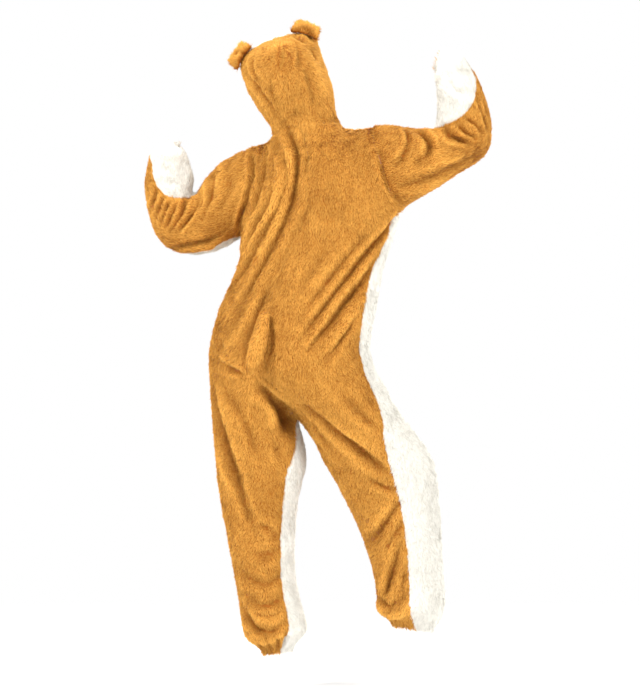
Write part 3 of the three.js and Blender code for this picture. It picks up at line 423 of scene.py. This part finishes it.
def pile_material(name, root, tip):
    """Plush pile: dark roots, pale tips, uneven from lock to lock and patch to patch, with painted shade and
    highlights.
    """
    mat, add = material(name)
    along, lock, tone = [add("ShaderNodeAttribute", attribute_name=kept).outputs["Fac"]
                         for kept in ("along", "lock", "tone")]
    lie = add("ShaderNodeAttribute", attribute_name="lie").outputs["Vector"]
    middle = [a * 0.45 + b * 0.55 for a, b in zip(root, tip)]
    height = add("ShaderNodeMath", {0: tone, 1: 0.5, 2: along}, operation="MULTIPLY_ADD").outputs[0]
    level = add("ShaderNodeMath", {0: height, 1: 1.5}, operation="DIVIDE").outputs[0]
    crease_shade = [c * (0.7 + 0.25 * root[2]) for c in root]  # painted shade of the darkest crease lines; a pale plush darkens less
    shade = ramp(add, level, [(0.0, crease_shade), (0.2, root), (0.6, middle), (1.0, tip)])
    # The tone carries random patches, the creases' painted shade and their painted highlights.
    patch = add("ShaderNodeMapRange", {"Value": tone, "From Min": -0.5, "To Min": 0.6, "To Max": 1.12})
    # Each lock's tone: partly random, partly painted shade that darkens the shorter locks between the wisps.
    lock_tone_and_shade = add("ShaderNodeMapRange", {"Value": lock, "To Min": 0.88, "To Max": 1.1}).outputs["Result"]
    both = add("ShaderNodeMath", {0: patch.outputs["Result"], 1: lock_tone_and_shade}, operation="MULTIPLY").outputs[0]
    colour = add("ShaderNodeVectorMath", {0: shade, "Scale": both}, operation="SCALE").outputs["Vector"]
    own = add("ShaderNodeNewGeometry").outputs["Normal"]
    # A Mix node's factor is its input 0, and its two vectors are 4 and 5.
    mixed = add("ShaderNodeMix", {0: SURFACE_NORMAL, 4: own, 5: lie}, data_type="VECTOR").outputs[1]
    normal = add("ShaderNodeVectorMath", {0: mixed}, operation="NORMALIZE").outputs["Vector"]
    surface = add("ShaderNodeBsdfPrincipled", {
        "Base Color": colour, "Normal": normal, "Roughness": 0.75, "Specular IOR Level": 0.15,
        "Sheen Weight": 0.3, "Sheen Roughness": 0.4, "Sheen Tint": (*tip, 1),
    })
    add("ShaderNodeOutputMaterial", {"Surface": surface.outputs["BSDF"]})
    return mat


def knit_material(name, colour, size):
    """The knit under the pile: small loops in rows, a little uneven in tone."""
    mat, add = material(name)
    place = add("ShaderNodeTexCoord").outputs["Object"]
    rows = add("ShaderNodeTexWave", {"Vector": place, "Scale": size, "Distortion": 2.0, "Detail": 1.0},
               bands_direction="Z").outputs["Fac"]
    cross = add("ShaderNodeTexWave", {"Vector": place, "Scale": size * 1.4, "Distortion": 1.5},
                bands_direction="X").outputs["Fac"]
    loops = add("ShaderNodeMath", {0: rows, 1: cross}, operation="MULTIPLY").outputs[0]
    patch = add("ShaderNodeTexNoise", {"Vector": place, "Scale": 45.0, "Detail": 3.0}).outputs["Fac"]
    tone = add("ShaderNodeMath", {0: loops, 1: patch}, operation="ADD").outputs[0]
    dark = [c * 0.72 for c in colour]
    shade = ramp(add, tone, [(0.25, dark), (1.0, colour)])
    bump = add("ShaderNodeBump", {"Height": loops, "Strength": 0.5, "Distance": 0.0006}).outputs["Normal"]
    surface = add("ShaderNodeBsdfPrincipled", {
        "Base Color": shade, "Normal": bump, "Roughness": 0.9, "Specular IOR Level": 0.2,
        "Sheen Weight": 0.2, "Sheen Roughness": 0.5,
    })
    add("ShaderNodeOutputMaterial", {"Surface": surface.outputs["BSDF"]})
    return mat


def plush(colour):
    """The pile, knit and inner materials of one plush, made once."""
    made = bpy.data.materials
    names = [f"{colour} pile", f"{colour} knit", f"{colour} knit inside"]
    if names[0] not in made:
        tones = bpy.context.scene.jumpsuit_colours
        root, tip = list(getattr(tones, colour + "_root")), list(getattr(tones, colour + "_tip"))
        pile_material(names[0], root, tip)
        knit_material(names[1], [c * 0.9 for c in root], 900.0)
        knit_material(names[2], [0.35 + 0.6 * c for c in tip], 700.0)
    return [made[name] for name in names]


# ---- cloth ----


def crosses_wall(edge):
    """True for an edge that runs from a panel's outer side straight through to its inner side."""
    length = edge.calc_length()
    if min(abs(length - depth) for depth in WALLS) > WALL_SLACK:
        return False
    way = (edge.verts[1].co - edge.verts[0].co) / length
    return all(max(abs(way.dot(f.normal)) for f in v.link_faces) > 0.25 for v in edge.verts)


def islands(bm):
    left = set(bm.faces)
    found = []
    while left:
        stack = [left.pop()]
        island = list(stack)
        while stack:
            for edge in stack.pop().edges:
                for face in edge.link_faces:
                    if face in left:
                        left.remove(face)
                        island.append(face)
                        stack.append(face)
        found.append(island)
    return found


def outwardness(faces):
    area = sum(f.calc_area() for f in faces)
    centre = sum((f.calc_center_median() * f.calc_area() for f in faces), Vector()) / area
    return sum(f.calc_area() * f.normal.dot(f.calc_center_median() - centre) for f in faces)


def solid_of(node):
    bm = bmesh.new()
    bm.from_mesh(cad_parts[node].data)
    bmesh.ops.remove_doubles(bm, verts=bm.verts, dist=SAME_POINT)
    return bm


def smooth(bm, index=0):
    """Gives all faces smooth shading and one material number."""
    for face in bm.faces:
        face.material_index = index
        face.smooth = True


def to_mesh(bm, name):
    mesh = bpy.data.meshes.new(name)
    bm.to_mesh(mesh)
    bm.free()
    return mesh


def lay_outer_side(cloth, node, index=0):
    """Adds the outer side of a panel's solid to the cloth. Its faces carry the panel's number."""
    bm = solid_of(node)
    bm.normal_update()
    rim = {f for e in bm.edges if crosses_wall(e) for f in e.link_faces}
    bmesh.ops.delete(bm, geom=list(rim), context="FACES")
    sides = sorted(islands(bm), key=outwardness)
    if len(sides) != 2:
        raise RuntimeError(f"{node} has {len(sides)} sides, not an outer and an inner one")
    bmesh.ops.delete(bm, geom=sides[0], context="FACES")
    smooth(bm, index)
    side = to_mesh(bm, node)
    cloth.from_mesh(side)
    bpy.data.meshes.remove(side)


def put_object(name, mesh):
    piece = bpy.data.objects.new(name, mesh)
    bpy.context.scene.collection.objects.link(piece)
    return piece


def drop(piece):
    """Removes a helper object and its mesh."""
    mesh = piece.data
    bpy.data.objects.remove(piece)
    bpy.data.meshes.remove(mesh)


def finished(piece):
    """The piece's mesh with its modifiers applied."""
    bpy.context.view_layer.update()
    seen = piece.evaluated_get(bpy.context.evaluated_depsgraph_get())
    mesh = bpy.data.meshes.new_from_object(seen)
    piece.modifiers.clear()
    old, piece.data = piece.data, mesh
    name = old.name
    bpy.data.meshes.remove(old)
    mesh.name = name
    return mesh


def subdivide(piece, levels):
    step = piece.modifiers.new("rounds", "SUBSURF")
    step.levels = step.render_levels = levels
    step.boundary_smooth = "PRESERVE_CORNERS"
    return finished(piece)


def read(items, what, each=1, kind=np.int32):
    values = np.empty(len(items) * each, kind)
    items.foreach_get(what, values)
    return values


def surface_of(mesh):
    """The places and the normals of the mesh's points."""
    return [read(mesh.vertices, what, 3, np.float32).reshape(-1, 3).astype(float) for what in ("co", "normal")]


def set_points(mesh, points):
    mesh.vertices.foreach_set("co", points.astype(np.float32).ravel())
    mesh.update()


def keep(mesh, name, values):
    """Stores one number or one vector for each point of the mesh."""
    vector = values.ndim == 2
    layer = mesh.attributes.new(name, "FLOAT_VECTOR" if vector else "FLOAT", "POINT")
    layer.data.foreach_set("vector" if vector else "value", values.astype(np.float32).ravel())


def unit(vectors):
    return vectors / np.maximum(np.linalg.norm(vectors, axis=1), 1e-9)[:, None]


def join_pairs(bm):
    """Joins triangles in pairs, never across a seam."""
    bmesh.ops.join_triangles(bm, faces=bm.faces[:], cmp_materials=True,
                             angle_face_threshold=math.pi, angle_shape_threshold=math.pi)


def swell(points, size, number):
    """An even, wandering value of about -1 to 1 at each point, with swells of that size."""
    shift = Vector((number * 17.3, number * 7.1, number * 3.7))
    return np.array([noise.noise(Vector(p) / size + shift) for p in points]) * 1.6


def swells(points, parts):
    return sum(share * swell(points, size, number) for share, size, number in parts)


def soft_line(line):
    """A smooth line through the points of a crease."""
    own = np.reshape(line, (-1, 2)).astype(float)
    p = np.vstack((2 * own[0] - own[1], own, 2 * own[-1] - own[-2]))
    t = np.linspace(0, 1, 6)[:, None]
    parts = []
    for a, b, c, d in zip(p, p[1:], p[2:], p[3:]):
        parts.append(0.5 * (2 * b + (c - a) * t + (2 * a - 5 * b + 4 * c - d) * t**2
                            + (3 * b - a - 3 * c + d) * t**3))
    return np.concatenate([part[:-1] for part in parts] + [parts[-1][-1:]])


def crease_moves(points, facing, number, side, width, depth, line):
    """How far one crease sinks and raises each point near it. With a depth below zero it is a roll instead."""
    way = soft_line(line)
    low, high = way.min(0) - CREASE_REACH * width, way.max(0) + CREASE_REACH * width
    flat = points[:, (0, 2)]
    near = np.flatnonzero(((side == 0) | (facing * side > 0.04)) & (flat > low).all(1) & (flat < high).all(1))
    if not len(near):
        return near, 0.0, 0.0
    start, step = way[:-1], way[1:] - way[:-1]
    gap = flat[near][:, None] - start
    t = np.clip((gap * step).sum(2) / (step**2).sum(1), 0, 1)
    gap -= t[:, :, None] * step
    k = (gap**2).sum(2).argmin(1)
    row = np.arange(len(near))
    off = gap[row, k]
    share = (k + t[row, k]) / len(start)
    turn = np.sign(step[k, 0] * off[:, 1] - step[k, 1] * off[:, 0])
    wide = width * (WIDTH_MEAN + WIDTH_WANDER * np.sin(share * WIDTH_WAVES + number))
    u = turn * np.hypot(off[:, 0], off[:, 1]) / wide
    # It fades out at both ends, and toward the side that the panel turns away from.
    fades = np.sin(math.pi * (0.05 + 0.9 * share)) ** 0.6
    held = fades * (1 + DEPTH_WANDER * np.sin(share * DEPTH_WAVES + number * 2.3))
    held *= abs(depth) * (np.minimum(1, 2.2 * abs(facing[near])) if side else 1)
    if depth < 0:
        return near, 0.0, held * np.exp(-u * u)
    first, second = [height * np.exp(-(((u - at) / RIDGE_WIDTH) ** 2))
                     for height, at in zip(RIDGE_HEIGHTS, (RIDGE_AT, -RIDGE_AT))]
    return near, held * np.exp(-STEEPNESS * np.sqrt(u * u + BOTTOM)), held * (first + second)


def neighbours_mean(values, edges, rounds):
    """Values averaged over the edges of the mesh a number of times."""
    count = np.bincount(edges.ravel(), minlength=len(values)) + 1.0
    for _ in range(rounds):
        total = values.copy()
        np.add.at(total, edges[:, 0], values[edges[:, 1]])
        np.add.at(total, edges[:, 1], values[edges[:, 0]])
        values = total / (count if values.ndim == 1 else count[:, None])
    return values


def distances(points, targets, reach):
    """How far each point is from the nearest target, up to reach."""
    tree = kdtree.KDTree(len(targets))
    for i, target in enumerate(targets):
        tree.insert(target, i)
    tree.balance()
    return np.array([min(reach, tree.find(p)[2]) for p in points])


def edge_facts(mesh):
    """The mesh's edges, and which of them lie between two panels or on an open edge."""
    edges = read(mesh.edges, "vertices", 2).reshape(-1, 2)
    corner = read(mesh.loops, "edge_index")
    own = np.repeat(read(mesh.polygons, "material_index"), read(mesh.polygons, "loop_total"))
    low = np.full(len(mesh.edges), 99)
    high = np.full(len(mesh.edges), -1)
    np.minimum.at(low, corner, own)
    np.maximum.at(high, corner, own)
    return edges, low != high, np.bincount(corner, minlength=len(low)) == 1


def sleeve_share(mesh, edges):
    """1 on the sleeves, 0 on the body and hood, easing from one to the other across the armholes."""
    share = np.zeros(len(mesh.vertices))
    for face in mesh.polygons:
        if face.material_index in SLEEVES:
            share[list(face.vertices)] = 1.0
    return neighbours_mean(share, edges, SLEEVE_EASE)


def pile_ways(points, out, sleeve):
    """The way the pile leans: down the body, over the hood to the brow, along the sleeve to the cuff, wandering."""
    down = np.tile((0.0, 0.0, -1.0), (len(points), 1))
    down[:, 1] = -NAP_FORWARD - HOOD_FORWARD * np.clip((points[:, 2] - HOOD_START) / HOOD_RISE, 0, 1)
    pull = np.zeros_like(points)
    for at, way in SLEEVE_NAP:
        near = np.exp(-((points * 1000 - at) ** 2).sum(1) / NAP_REACH**2) + 1e-12
        pull += near[:, None] * (np.array(way, float) / np.linalg.norm(way))
    way = unit(down * (1 - sleeve)[:, None] + unit(pull) * sleeve[:, None])
    return lean_over(points, out, way)


def lean_over(points, out, way):
    lean = bpy.context.scene.jumpsuit_pile.lean
    flat = unit(way - out * (way * out).sum(1)[:, None])
    turn = swells(points, TURN_SWELLS)
    across = np.cross(out, flat)
    flat = flat * np.cos(turn)[:, None] + across * np.sin(turn)[:, None]
    rise = lean + swells(points, RISE_SWELLS)
    return flat * np.cos(rise)[:, None] + out * np.sin(rise)[:, None]


def patches(points):
    """The lighter and darker patches that handling leaves in the pile, from 0 to 1."""
    return np.clip(TONE_MEAN + TONE_SPREAD * swells(points, TONE_SWELLS), 0, 1)


def press_creases(points, out):
    """How far the creases move each point out, in metres, and their painted highlight and painted shade on its pile.
    """
    down = np.zeros(len(points))
    up = np.zeros(len(points))
    for number, crease in enumerate(CREASES):
        near, low, high = crease_moves(points * 1000, out[:, 1], number, *crease)
        down[near] = np.maximum(down[near], low)
        up[near] = np.maximum(up[near], high)
    move = (up - down) * bpy.context.scene.jumpsuit_cloth.crease / 1000
    # Painted highlight on the ridges, painted shade where the cloth sinks, darkest along the crease lines.
    shade = PAINTED_RIDGE_HIGHLIGHT * up - PAINTED_SINK_SHADE * down - PAINTED_LINE_SHADE * np.clip(down / LINE_DEPTH, 0, 1) ** LINE_BEND
    return np.clip(move, MOST_IN, MOST_OUT), shade


def gather_edges(points, to_edge):
    """Short puckers round the gathered hems and cuffs."""
    move = np.zeros(len(points))
    for middle, count in GATHERS:
        off = points - np.array(middle) / 1000
        here = np.linalg.norm(off, axis=1) < PUCKER_ZONE
        angle = np.arctan2(off[:, 1], off[:, 0])
        wave = np.sin(angle * count + 1.3 * np.sin(angle * 3 + count)) * (0.75 + 0.25 * np.sin(angle * 2 + 1))
        move += here * wave * np.exp(-to_edge / PUCKER_REACH)
    return move * bpy.context.scene.jumpsuit_cloth.pucker


def whole_cloth():
    """Every panel's outer side, joined at the seams, rounded, pressed and puckered."""
    sizes = bpy.context.scene.jumpsuit_cloth
    bm = bmesh.new()
    for index, (node, *_) in enumerate(PANELS):
        lay_outer_side(bm, node, index)
    rim = [v for v in bm.verts if v.is_boundary]
    bmesh.ops.remove_doubles(bm, verts=rim, dist=SEAM_GAP)
    join_pairs(bm)
    piece = put_object("jumpsuit cloth", to_mesh(bm, "jumpsuit cloth"))
    mesh = subdivide(piece, 3)
    edges, seam, rim = edge_facts(mesh)
    points, out = surface_of(mesh)
    out = unit(neighbours_mean(out, edges, 4))
    sleeve = sleeve_share(mesh, edges)
    to_seam = distances(points, points[np.unique(edges[seam])], SEAM_FAR)
    to_edge = distances(points, points[np.unique(edges[rim])], EDGE_FAR)
    still = 1 - np.exp(-to_edge / STILL_REACH)
    move, shade = press_creases(points, out)
    move *= still
    move += sizes.lumps * swells(points, CLOTH_SWELLS) * still
    move -= SEAM_DEPTH * np.exp(-((to_seam / SEAM_REACH) ** 2))
    move += gather_edges(points, to_edge) - sizes.pile_depth
    set_points(mesh, points + out * move[:, None])
    points, out = surface_of(mesh)
    keep(mesh, "lean", pile_ways(points, out, sleeve))
    # The pile's tone: random patches, with the painted shade and painted highlights of the creases.
    keep(mesh, "tone", patches(points) + shade * still)
    longer = EDGE_LONGER * np.exp(-to_edge / EDGE_LONG_REACH)
    keep(mesh, "long", 1 + longer + SEAM_LONGER * np.exp(-to_seam / SEAM_LONG_REACH))
    return piece


def cut_panel(cloth, index, name):
    """One panel of the joined cloth, as its own mesh."""
    bm = bmesh.new()
    bm.from_mesh(cloth.data)
    others = [f for f in bm.faces if f.material_index != index]
    bmesh.ops.delete(bm, geom=others, context="FACES")
    smooth(bm)
    return to_mesh(bm, name)


def thin_out(piece):
    """Undoes one level of rounding, which takes two steps. The pile hides the knit anyway."""
    step = piece.modifiers.new("thins", "DECIMATE")
    step.decimate_type = "UNSUBDIV"
    step.iterations = 2
    return finished(piece)


def thicken(piece, depth, inside):
    step = piece.modifiers.new("knit", "SOLIDIFY")
    step.thickness = depth
    step.offset = -1
    step.material_offset = inside
    return finished(piece)


# ---- pile ----


def lock_shape():
    """One lock of pile: a slim blade a unit long along Z and a unit wide at its root, facing Y."""
    bm = bmesh.new()
    bmesh.ops.create_circle(bm, cap_ends=True, segments=3, radius=1.0)
    bmesh.ops.rotate(bm, verts=bm.verts, matrix=Matrix.Rotation(math.pi / 2, 3, "X"))
    top = max(bm.verts, key=lambda v: v.co.z)
    for vert in bm.verts:
        vert.co = Vector((0, 0, 1)) if vert is top else Vector((math.copysign(0.5, vert.co.x), 0, 0))
    bm.normal_update()
    if bm.faces[:][0].normal.y < 0:
        bmesh.ops.reverse_faces(bm, faces=bm.faces)
    along = bm.verts.layers.float.new("along")
    for vert in bm.verts:
        vert[along] = vert.co.z
    return put_object("lock", to_mesh(bm, "lock"))


def pile_tree(lock):
    """Geometry nodes that set locks of pile over a cloth, leaning the way its own lean attribute says."""
    sizes = bpy.context.scene.jumpsuit_pile
    tree = bpy.data.node_groups.new("pile", "GeometryNodeTree")
    tree.interface.new_socket("Geometry", in_out="INPUT", socket_type="NodeSocketGeometry")
    tree.interface.new_socket("Geometry", in_out="OUTPUT", socket_type="NodeSocketGeometry")

    add = adder(tree)

    def chance(low, high, number, kind="FLOAT"):
        first = {"FLOAT": 2, "FLOAT_VECTOR": 0}[kind]
        node = add("FunctionNodeRandomValue", data_type=kind)
        node.inputs[first].default_value = low
        node.inputs[first + 1].default_value = high
        node.inputs["Seed"].default_value = number + sizes.seed
        return node.outputs[{"FLOAT": 1, "FLOAT_VECTOR": 0}[kind]]

    def combine(a, b, operation="ADD"):
        return add("ShaderNodeVectorMath", {0: a, 1: b}, operation=operation).outputs["Vector"]

    start = add("NodeGroupInput").outputs[0]
    spread = add("GeometryNodeDistributePointsOnFaces", {"Mesh": start, "Density": sizes.density,
                                                         "Seed": sizes.seed})
    lean = add("GeometryNodeInputNamedAttribute", {"Name": "lean"}, data_type="FLOAT_VECTOR").outputs[0]
    place = add("GeometryNodeInputPosition").outputs[0]
    tufts = add("ShaderNodeTexNoise", {"Vector": place, "Scale": TUFT_SCALE, "Detail": 1.0})
    wisps = add("ShaderNodeTexNoise", {"Vector": place, "Scale": WISP_SCALE, "Detail": 0.0})
    bloom = add("ShaderNodeMapRange", {"Value": wisps.outputs["Fac"], "From Min": 0.3, "From Max": 0.7})
    crown = bloom.outputs["Result"]
    reach = add("GeometryNodeInputNamedAttribute", {"Name": "long"}, data_type="FLOAT").outputs[0]
    drawn, fine = [combine(combine(noises.outputs["Color"], (0.5,) * 3, "SUBTRACT"), (turn,) * 3, "MULTIPLY")
                   for noises, turn in ((tufts, TUFT_TURN), (wisps, WISP_TURN))]
    loose = chance((-LOOSE_TURN,) * 3, (LOOSE_TURN,) * 3, 11, "FLOAT_VECTOR")
    way = combine(combine(lean, drawn), combine(fine, loose))
    lie = add("GeometryNodeStoreNamedAttribute", {"Geometry": spread.outputs["Points"], "Name": "lie",
                                                  "Value": spread.outputs["Normal"]}, data_type="FLOAT_VECTOR")
    # A lock's tone: a random share, plus painted shade that darkens the shorter locks between the wisps.
    light = add("ShaderNodeMath", {0: crown, 1: 0.5, 2: chance(0.0, 0.5, 12)}, operation="MULTIPLY_ADD")
    shade = add("GeometryNodeStoreNamedAttribute", {"Geometry": lie.outputs[0], "Name": "lock",
                                                    "Value": light.outputs[0]}, data_type="FLOAT")
    stand = add("FunctionNodeAlignRotationToVector", {"Vector": way}, axis="Z").outputs[0]
    roll = combine(spread.outputs["Normal"], chance((-ROLL,) * 3, (ROLL,) * 3, 13, "FLOAT_VECTOR"))
    turned = add("FunctionNodeAlignRotationToVector", {"Rotation": stand, "Vector": roll},
                 axis="Y", pivot_axis="Z").outputs[0]
    even = add("ShaderNodeMath", {0: chance(*LENGTHS, 14), 1: reach}, operation="MULTIPLY").outputs[0]
    tall = add("ShaderNodeMath", {0: crown, 1: CROWN_LONGER * sizes.length, 2: LEAST_LENGTH * sizes.length},
               operation="MULTIPLY_ADD")
    long_by = add("ShaderNodeMath", {0: even, 1: tall.outputs[0]}, operation="MULTIPLY").outputs[0]
    wide_by = add("ShaderNodeMath", {0: chance(*WIDTHS, 15), 1: sizes.width}, operation="MULTIPLY").outputs[0]
    scale = add("ShaderNodeCombineXYZ", {"X": wide_by, "Y": 1.0, "Z": long_by}).outputs[0]
    shape = add("GeometryNodeObjectInfo", {"Object": lock}).outputs["Geometry"]
    locks = add("GeometryNodeInstanceOnPoints", {"Points": shade.outputs[0], "Instance": shape,
                                                 "Rotation": turned, "Scale": scale}).outputs[0]
    real = add("GeometryNodeRealizeInstances", {"Geometry": locks}).outputs[0]
    add("NodeGroupOutput", {0: real})
    return tree


def grow_pile(cloth, name, colour):
    """A piece of pile that stands on the cloth's faces."""
    made = bpy.data.node_groups
    if "pile" not in made:
        pile_tree(lock_shape())
    piece = put_object(name, cloth.copy())
    piece.data.name = name
    step = piece.modifiers.new("pile", "NODES")
    step.node_group = made["pile"]
    mesh = finished(piece)
    for used in ("lean", "long"):
        mesh.attributes.remove(mesh.attributes[used])
    mesh.materials.clear()
    mesh.materials.append(plush(colour)[0])
    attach(piece, "root")
    return piece


def clear_tools():
    """The lock that was scattered, and the tree that scattered it, aren't pieces."""
    bpy.data.node_groups.remove(bpy.data.node_groups["pile"])
    drop(bpy.data.objects["lock"])


# ---- pieces ----


def dress(piece, node):
    """Rides a finished piece and hides the solid that it stands for."""
    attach(piece, "root")
    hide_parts(node)


def line_with_knit(piece, colour):
    """The knit's outer material, and the paler one on its inner side."""
    outside, inside = plush(colour)[1:]
    piece.data.materials.clear()
    piece.data.materials.append(outside)
    piece.data.materials.append(inside)


def make_panel(mesh, node, colour, flat, share, held):
    """One sewn panel: its knit as a thin sheet, and the pile that stands on it."""
    pile = grow_pile(mesh, node + "_pile", colour)
    piece = put_object(node + "_knit", mesh)
    thin_out(piece)
    line_with_knit(piece, colour)
    thicken(piece, bpy.context.scene.jumpsuit_cloth.knit, 1)
    dress(piece, node)


def make_stuffed(node, colour, way, rounds, sink, puff, pale, reach, fill):
    """An ear or the tail: its solid's form with softened corners, stuffed, with its pile."""
    bm = solid_of(node)
    join_pairs(bm)
    smooth(bm)
    piece = put_object(node + "_stuffed", to_mesh(bm, node))
    mesh = subdivide(piece, 2)
    set_points(mesh, neighbours_mean(surface_of(mesh)[0], edge_facts(mesh)[0], rounds))
    points, out = surface_of(mesh)
    fold, shade = press_creases(points, out)
    move = puff * swells(points, STUFFED_SWELLS) + STUFFED_CREASE * fold - sink
    set_points(mesh, points + out * move[:, None])
    points, out = surface_of(mesh)
    keep(mesh, "lean", lean_over(points, out, way(points)))
    # Painted light from above: paler tops, darker undersides; the creases add their painted shade and highlights.
    keep(mesh, "tone", patches(points) + shade + pale + PAINTED_TOP_LIGHT * out[:, 2])
    keep(mesh, "long", np.full(len(points), reach))
    grow_pile(mesh, node + "_pile", colour)
    line_with_knit(piece, colour)
    dress(piece, node)


def away_from_hood(points):
    return unit(points - HOOD_MIDDLE)


def down_the_tail(points):
    return np.tile(TAIL_NAP, (len(points), 1))


class JUMPSUIT_OT_cloth(bpy.types.Operator):
    """Makes the panels of the body, sleeves and hood with their pile"""

    bl_idname = "jumpsuit.cloth"
    bl_label = "Panels and pile"

    def execute(self, context):
        cloth = whole_cloth()
        for index, (node, *cut) in enumerate(PANELS):
            mesh = cut_panel(cloth, index, node + "_knit")
            make_panel(mesh, node, *cut)
        drop(cloth)
        return {"FINISHED"}


class JUMPSUIT_OT_placket(bpy.types.Operator):
    """Makes the strip that covers the front opening"""

    bl_idname = "jumpsuit.placket"
    bl_label = "Front placket"

    def execute(self, context):
        sizes = context.scene.jumpsuit_cloth
        node, *cut = PLACKET
        bm = bmesh.new()
        lay_outer_side(bm, node)
        join_pairs(bm)
        piece = put_object("placket", to_mesh(bm, node))
        mesh = subdivide(piece, 2)
        points, out = surface_of(mesh)
        move = swells(points, PLACKET_SWELLS) - PLACKET_SINK * sizes.pile_depth
        set_points(mesh, points + out * move[:, None])
        points, out = surface_of(mesh)
        keep(mesh, "lean", pile_ways(points, out, np.zeros(len(points))))
        keep(mesh, "tone", patches(points))
        keep(mesh, "long", np.full(len(points), 1.0))
        bpy.data.objects.remove(piece)
        make_panel(mesh, node, *cut)
        return {"FINISHED"}


class JUMPSUIT_OT_ears(bpy.types.Operator):
    """Makes the two folded ears"""

    bl_idname = "jumpsuit.ears"
    bl_label = "Ears"

    def execute(self, context):
        for node in ("ear_left", "ear_right"):
            make_stuffed(node, "tan", away_from_hood, **EAR)
        return {"FINISHED"}


class JUMPSUIT_OT_tail(bpy.types.Operator):
    """Makes the stuffed tail"""

    bl_idname = "jumpsuit.tail"
    bl_label = "Tail"

    def execute(self, context):
        make_stuffed("tail", "tan", down_the_tail, **TAIL)
        clear_tools()
        return {"FINISHED"}


# ---- stage ----


def floor_material():
    """A pale floor that fades into the even light a few metres out."""
    mat, add = material("pale floor")
    place = add("ShaderNodeTexCoord").outputs["Object"]
    reach = add("ShaderNodeVectorMath", {0: place}, operation="LENGTH").outputs["Value"]
    fade = add("ShaderNodeMapRange", {"Value": reach, "From Min": FADE_START, "From Max": FADE_END},
               interpolation_type="SMOOTHSTEP").outputs["Result"]
    grain = add("ShaderNodeTexNoise", {"Vector": place, "Scale": 3.0}).outputs["Fac"]
    shade = ramp(add, grain, [(0.0, (0.88, 0.88, 0.875)), (1.0, (0.93, 0.93, 0.925))])
    matt = add("ShaderNodeBsdfPrincipled", {"Base Color": shade, "Roughness": 0.9,
                                            "Specular IOR Level": 0.1}).outputs["BSDF"]
    clear = add("ShaderNodeBsdfTransparent").outputs["BSDF"]
    mixed = add("ShaderNodeMixShader", {0: fade, 1: matt, 2: clear}).outputs["Shader"]
    add("ShaderNodeOutputMaterial", {"Surface": mixed})
    return mat


def soft_light(name, place, aim, size, strength):
    light = bpy.data.lights.new(name, "AREA")
    light.shape = "DISK"
    light.size = size
    light.energy = strength
    lamp = bpy.data.objects.new(name, light)
    lamp.location = place
    lamp.rotation_euler = (Vector(aim) - Vector(place)).to_track_quat("-Z", "Y").to_euler()
    bpy.context.scene.collection.objects.link(lamp)


def even_sky(strength):
    """Even light from all round. The camera itself sees plain white."""
    world = bpy.data.worlds.new("even light")
    bpy.context.scene.world = world
    world.use_nodes = True
    world.node_tree.nodes.clear()
    add = adder(world.node_tree)
    seen = add("ShaderNodeBackground", {"Color": (1, 1, 1, 1), "Strength": 1.0}).outputs[0]
    lit = add("ShaderNodeBackground", {"Color": (1, 0.99, 0.975, 1), "Strength": strength}).outputs[0]
    rays = add("ShaderNodeLightPath").outputs["Is Camera Ray"]
    both = add("ShaderNodeMixShader", {0: rays, 1: lit, 2: seen}).outputs[0]
    add("ShaderNodeOutputWorld", {"Surface": both})


class JUMPSUIT_OT_stage(bpy.types.Operator):
    """Makes the floor, the soft lights and the camera"""

    bl_idname = "jumpsuit.stage"
    bl_label = "Studio"

    def execute(self, context):
        sizes = context.scene.jumpsuit_stage
        bm = bmesh.new()
        bmesh.ops.create_circle(bm, cap_ends=True, segments=96, radius=FLOOR_RADIUS)
        floor = put_object("floor", to_mesh(bm, "floor"))
        floor.location = (0, 0, sizes.floor)
        floor.data.materials.append(floor_material())
        for name, place, aim, size, strength, share in LIGHTS:
            soft_light(name, place, aim, size, share * getattr(sizes, strength))
        even_sky(sizes.sky)
        lens = bpy.data.cameras.new("camera")
        lens.lens = SENSOR * CAMERA_PLACE[1] / VIEW_HEIGHT
        lens.sensor_width = SENSOR
        lens.clip_end = 100
        camera = bpy.data.objects.new("camera", lens)
        camera.location = CAMERA_PLACE
        camera.rotation_euler = (math.pi / 2, 0, math.pi)
        context.scene.collection.objects.link(camera)
        context.scene.camera = camera
        context.scene.view_settings.view_transform = "Standard"
        return {"FINISHED"}


class JUMPSUIT_PT_sidebar(bpy.types.Panel):
    bl_idname = "JUMPSUIT_PT_sidebar"
    bl_label = "Plush bulldog jumpsuit"
    bl_space_type = "VIEW_3D"
    bl_region_type = "UI"
    bl_category = "Jumpsuit"

    def draw(self, context):
        for name in GROUPS:
            group = getattr(context.scene, name)
            box = self.layout.box()
            for key in group.__annotations__:
                box.prop(group, key)
        for operator in STEPS:
            self.layout.operator(operator.bl_idname)


GROUPS = {
    "jumpsuit_cloth": JumpsuitCloth,
    "jumpsuit_pile": JumpsuitPile,
    "jumpsuit_colours": JumpsuitColours,
    "jumpsuit_stage": JumpsuitStage,
}
STEPS = (JUMPSUIT_OT_cloth, JUMPSUIT_OT_placket, JUMPSUIT_OT_ears, JUMPSUIT_OT_tail, JUMPSUIT_OT_stage)


def register():
    for kind in (*GROUPS.values(), *STEPS, JUMPSUIT_PT_sidebar):
        bpy.utils.register_class(kind)
    for name, kind in GROUPS.items():
        setattr(bpy.types.Scene, name, PointerProperty(type=kind))


def unregister():
    for name in GROUPS:
        delattr(bpy.types.Scene, name)
    for kind in (JUMPSUIT_PT_sidebar, *reversed(STEPS), *GROUPS.values()):
        bpy.utils.unregister_class(kind)


def main():
    register()
    bpy.ops.jumpsuit.cloth()
    bpy.ops.jumpsuit.placket()
    bpy.ops.jumpsuit.ears()
    bpy.ops.jumpsuit.tail()
    bpy.ops.jumpsuit.stage()


if __name__ == "__main__":
    main()
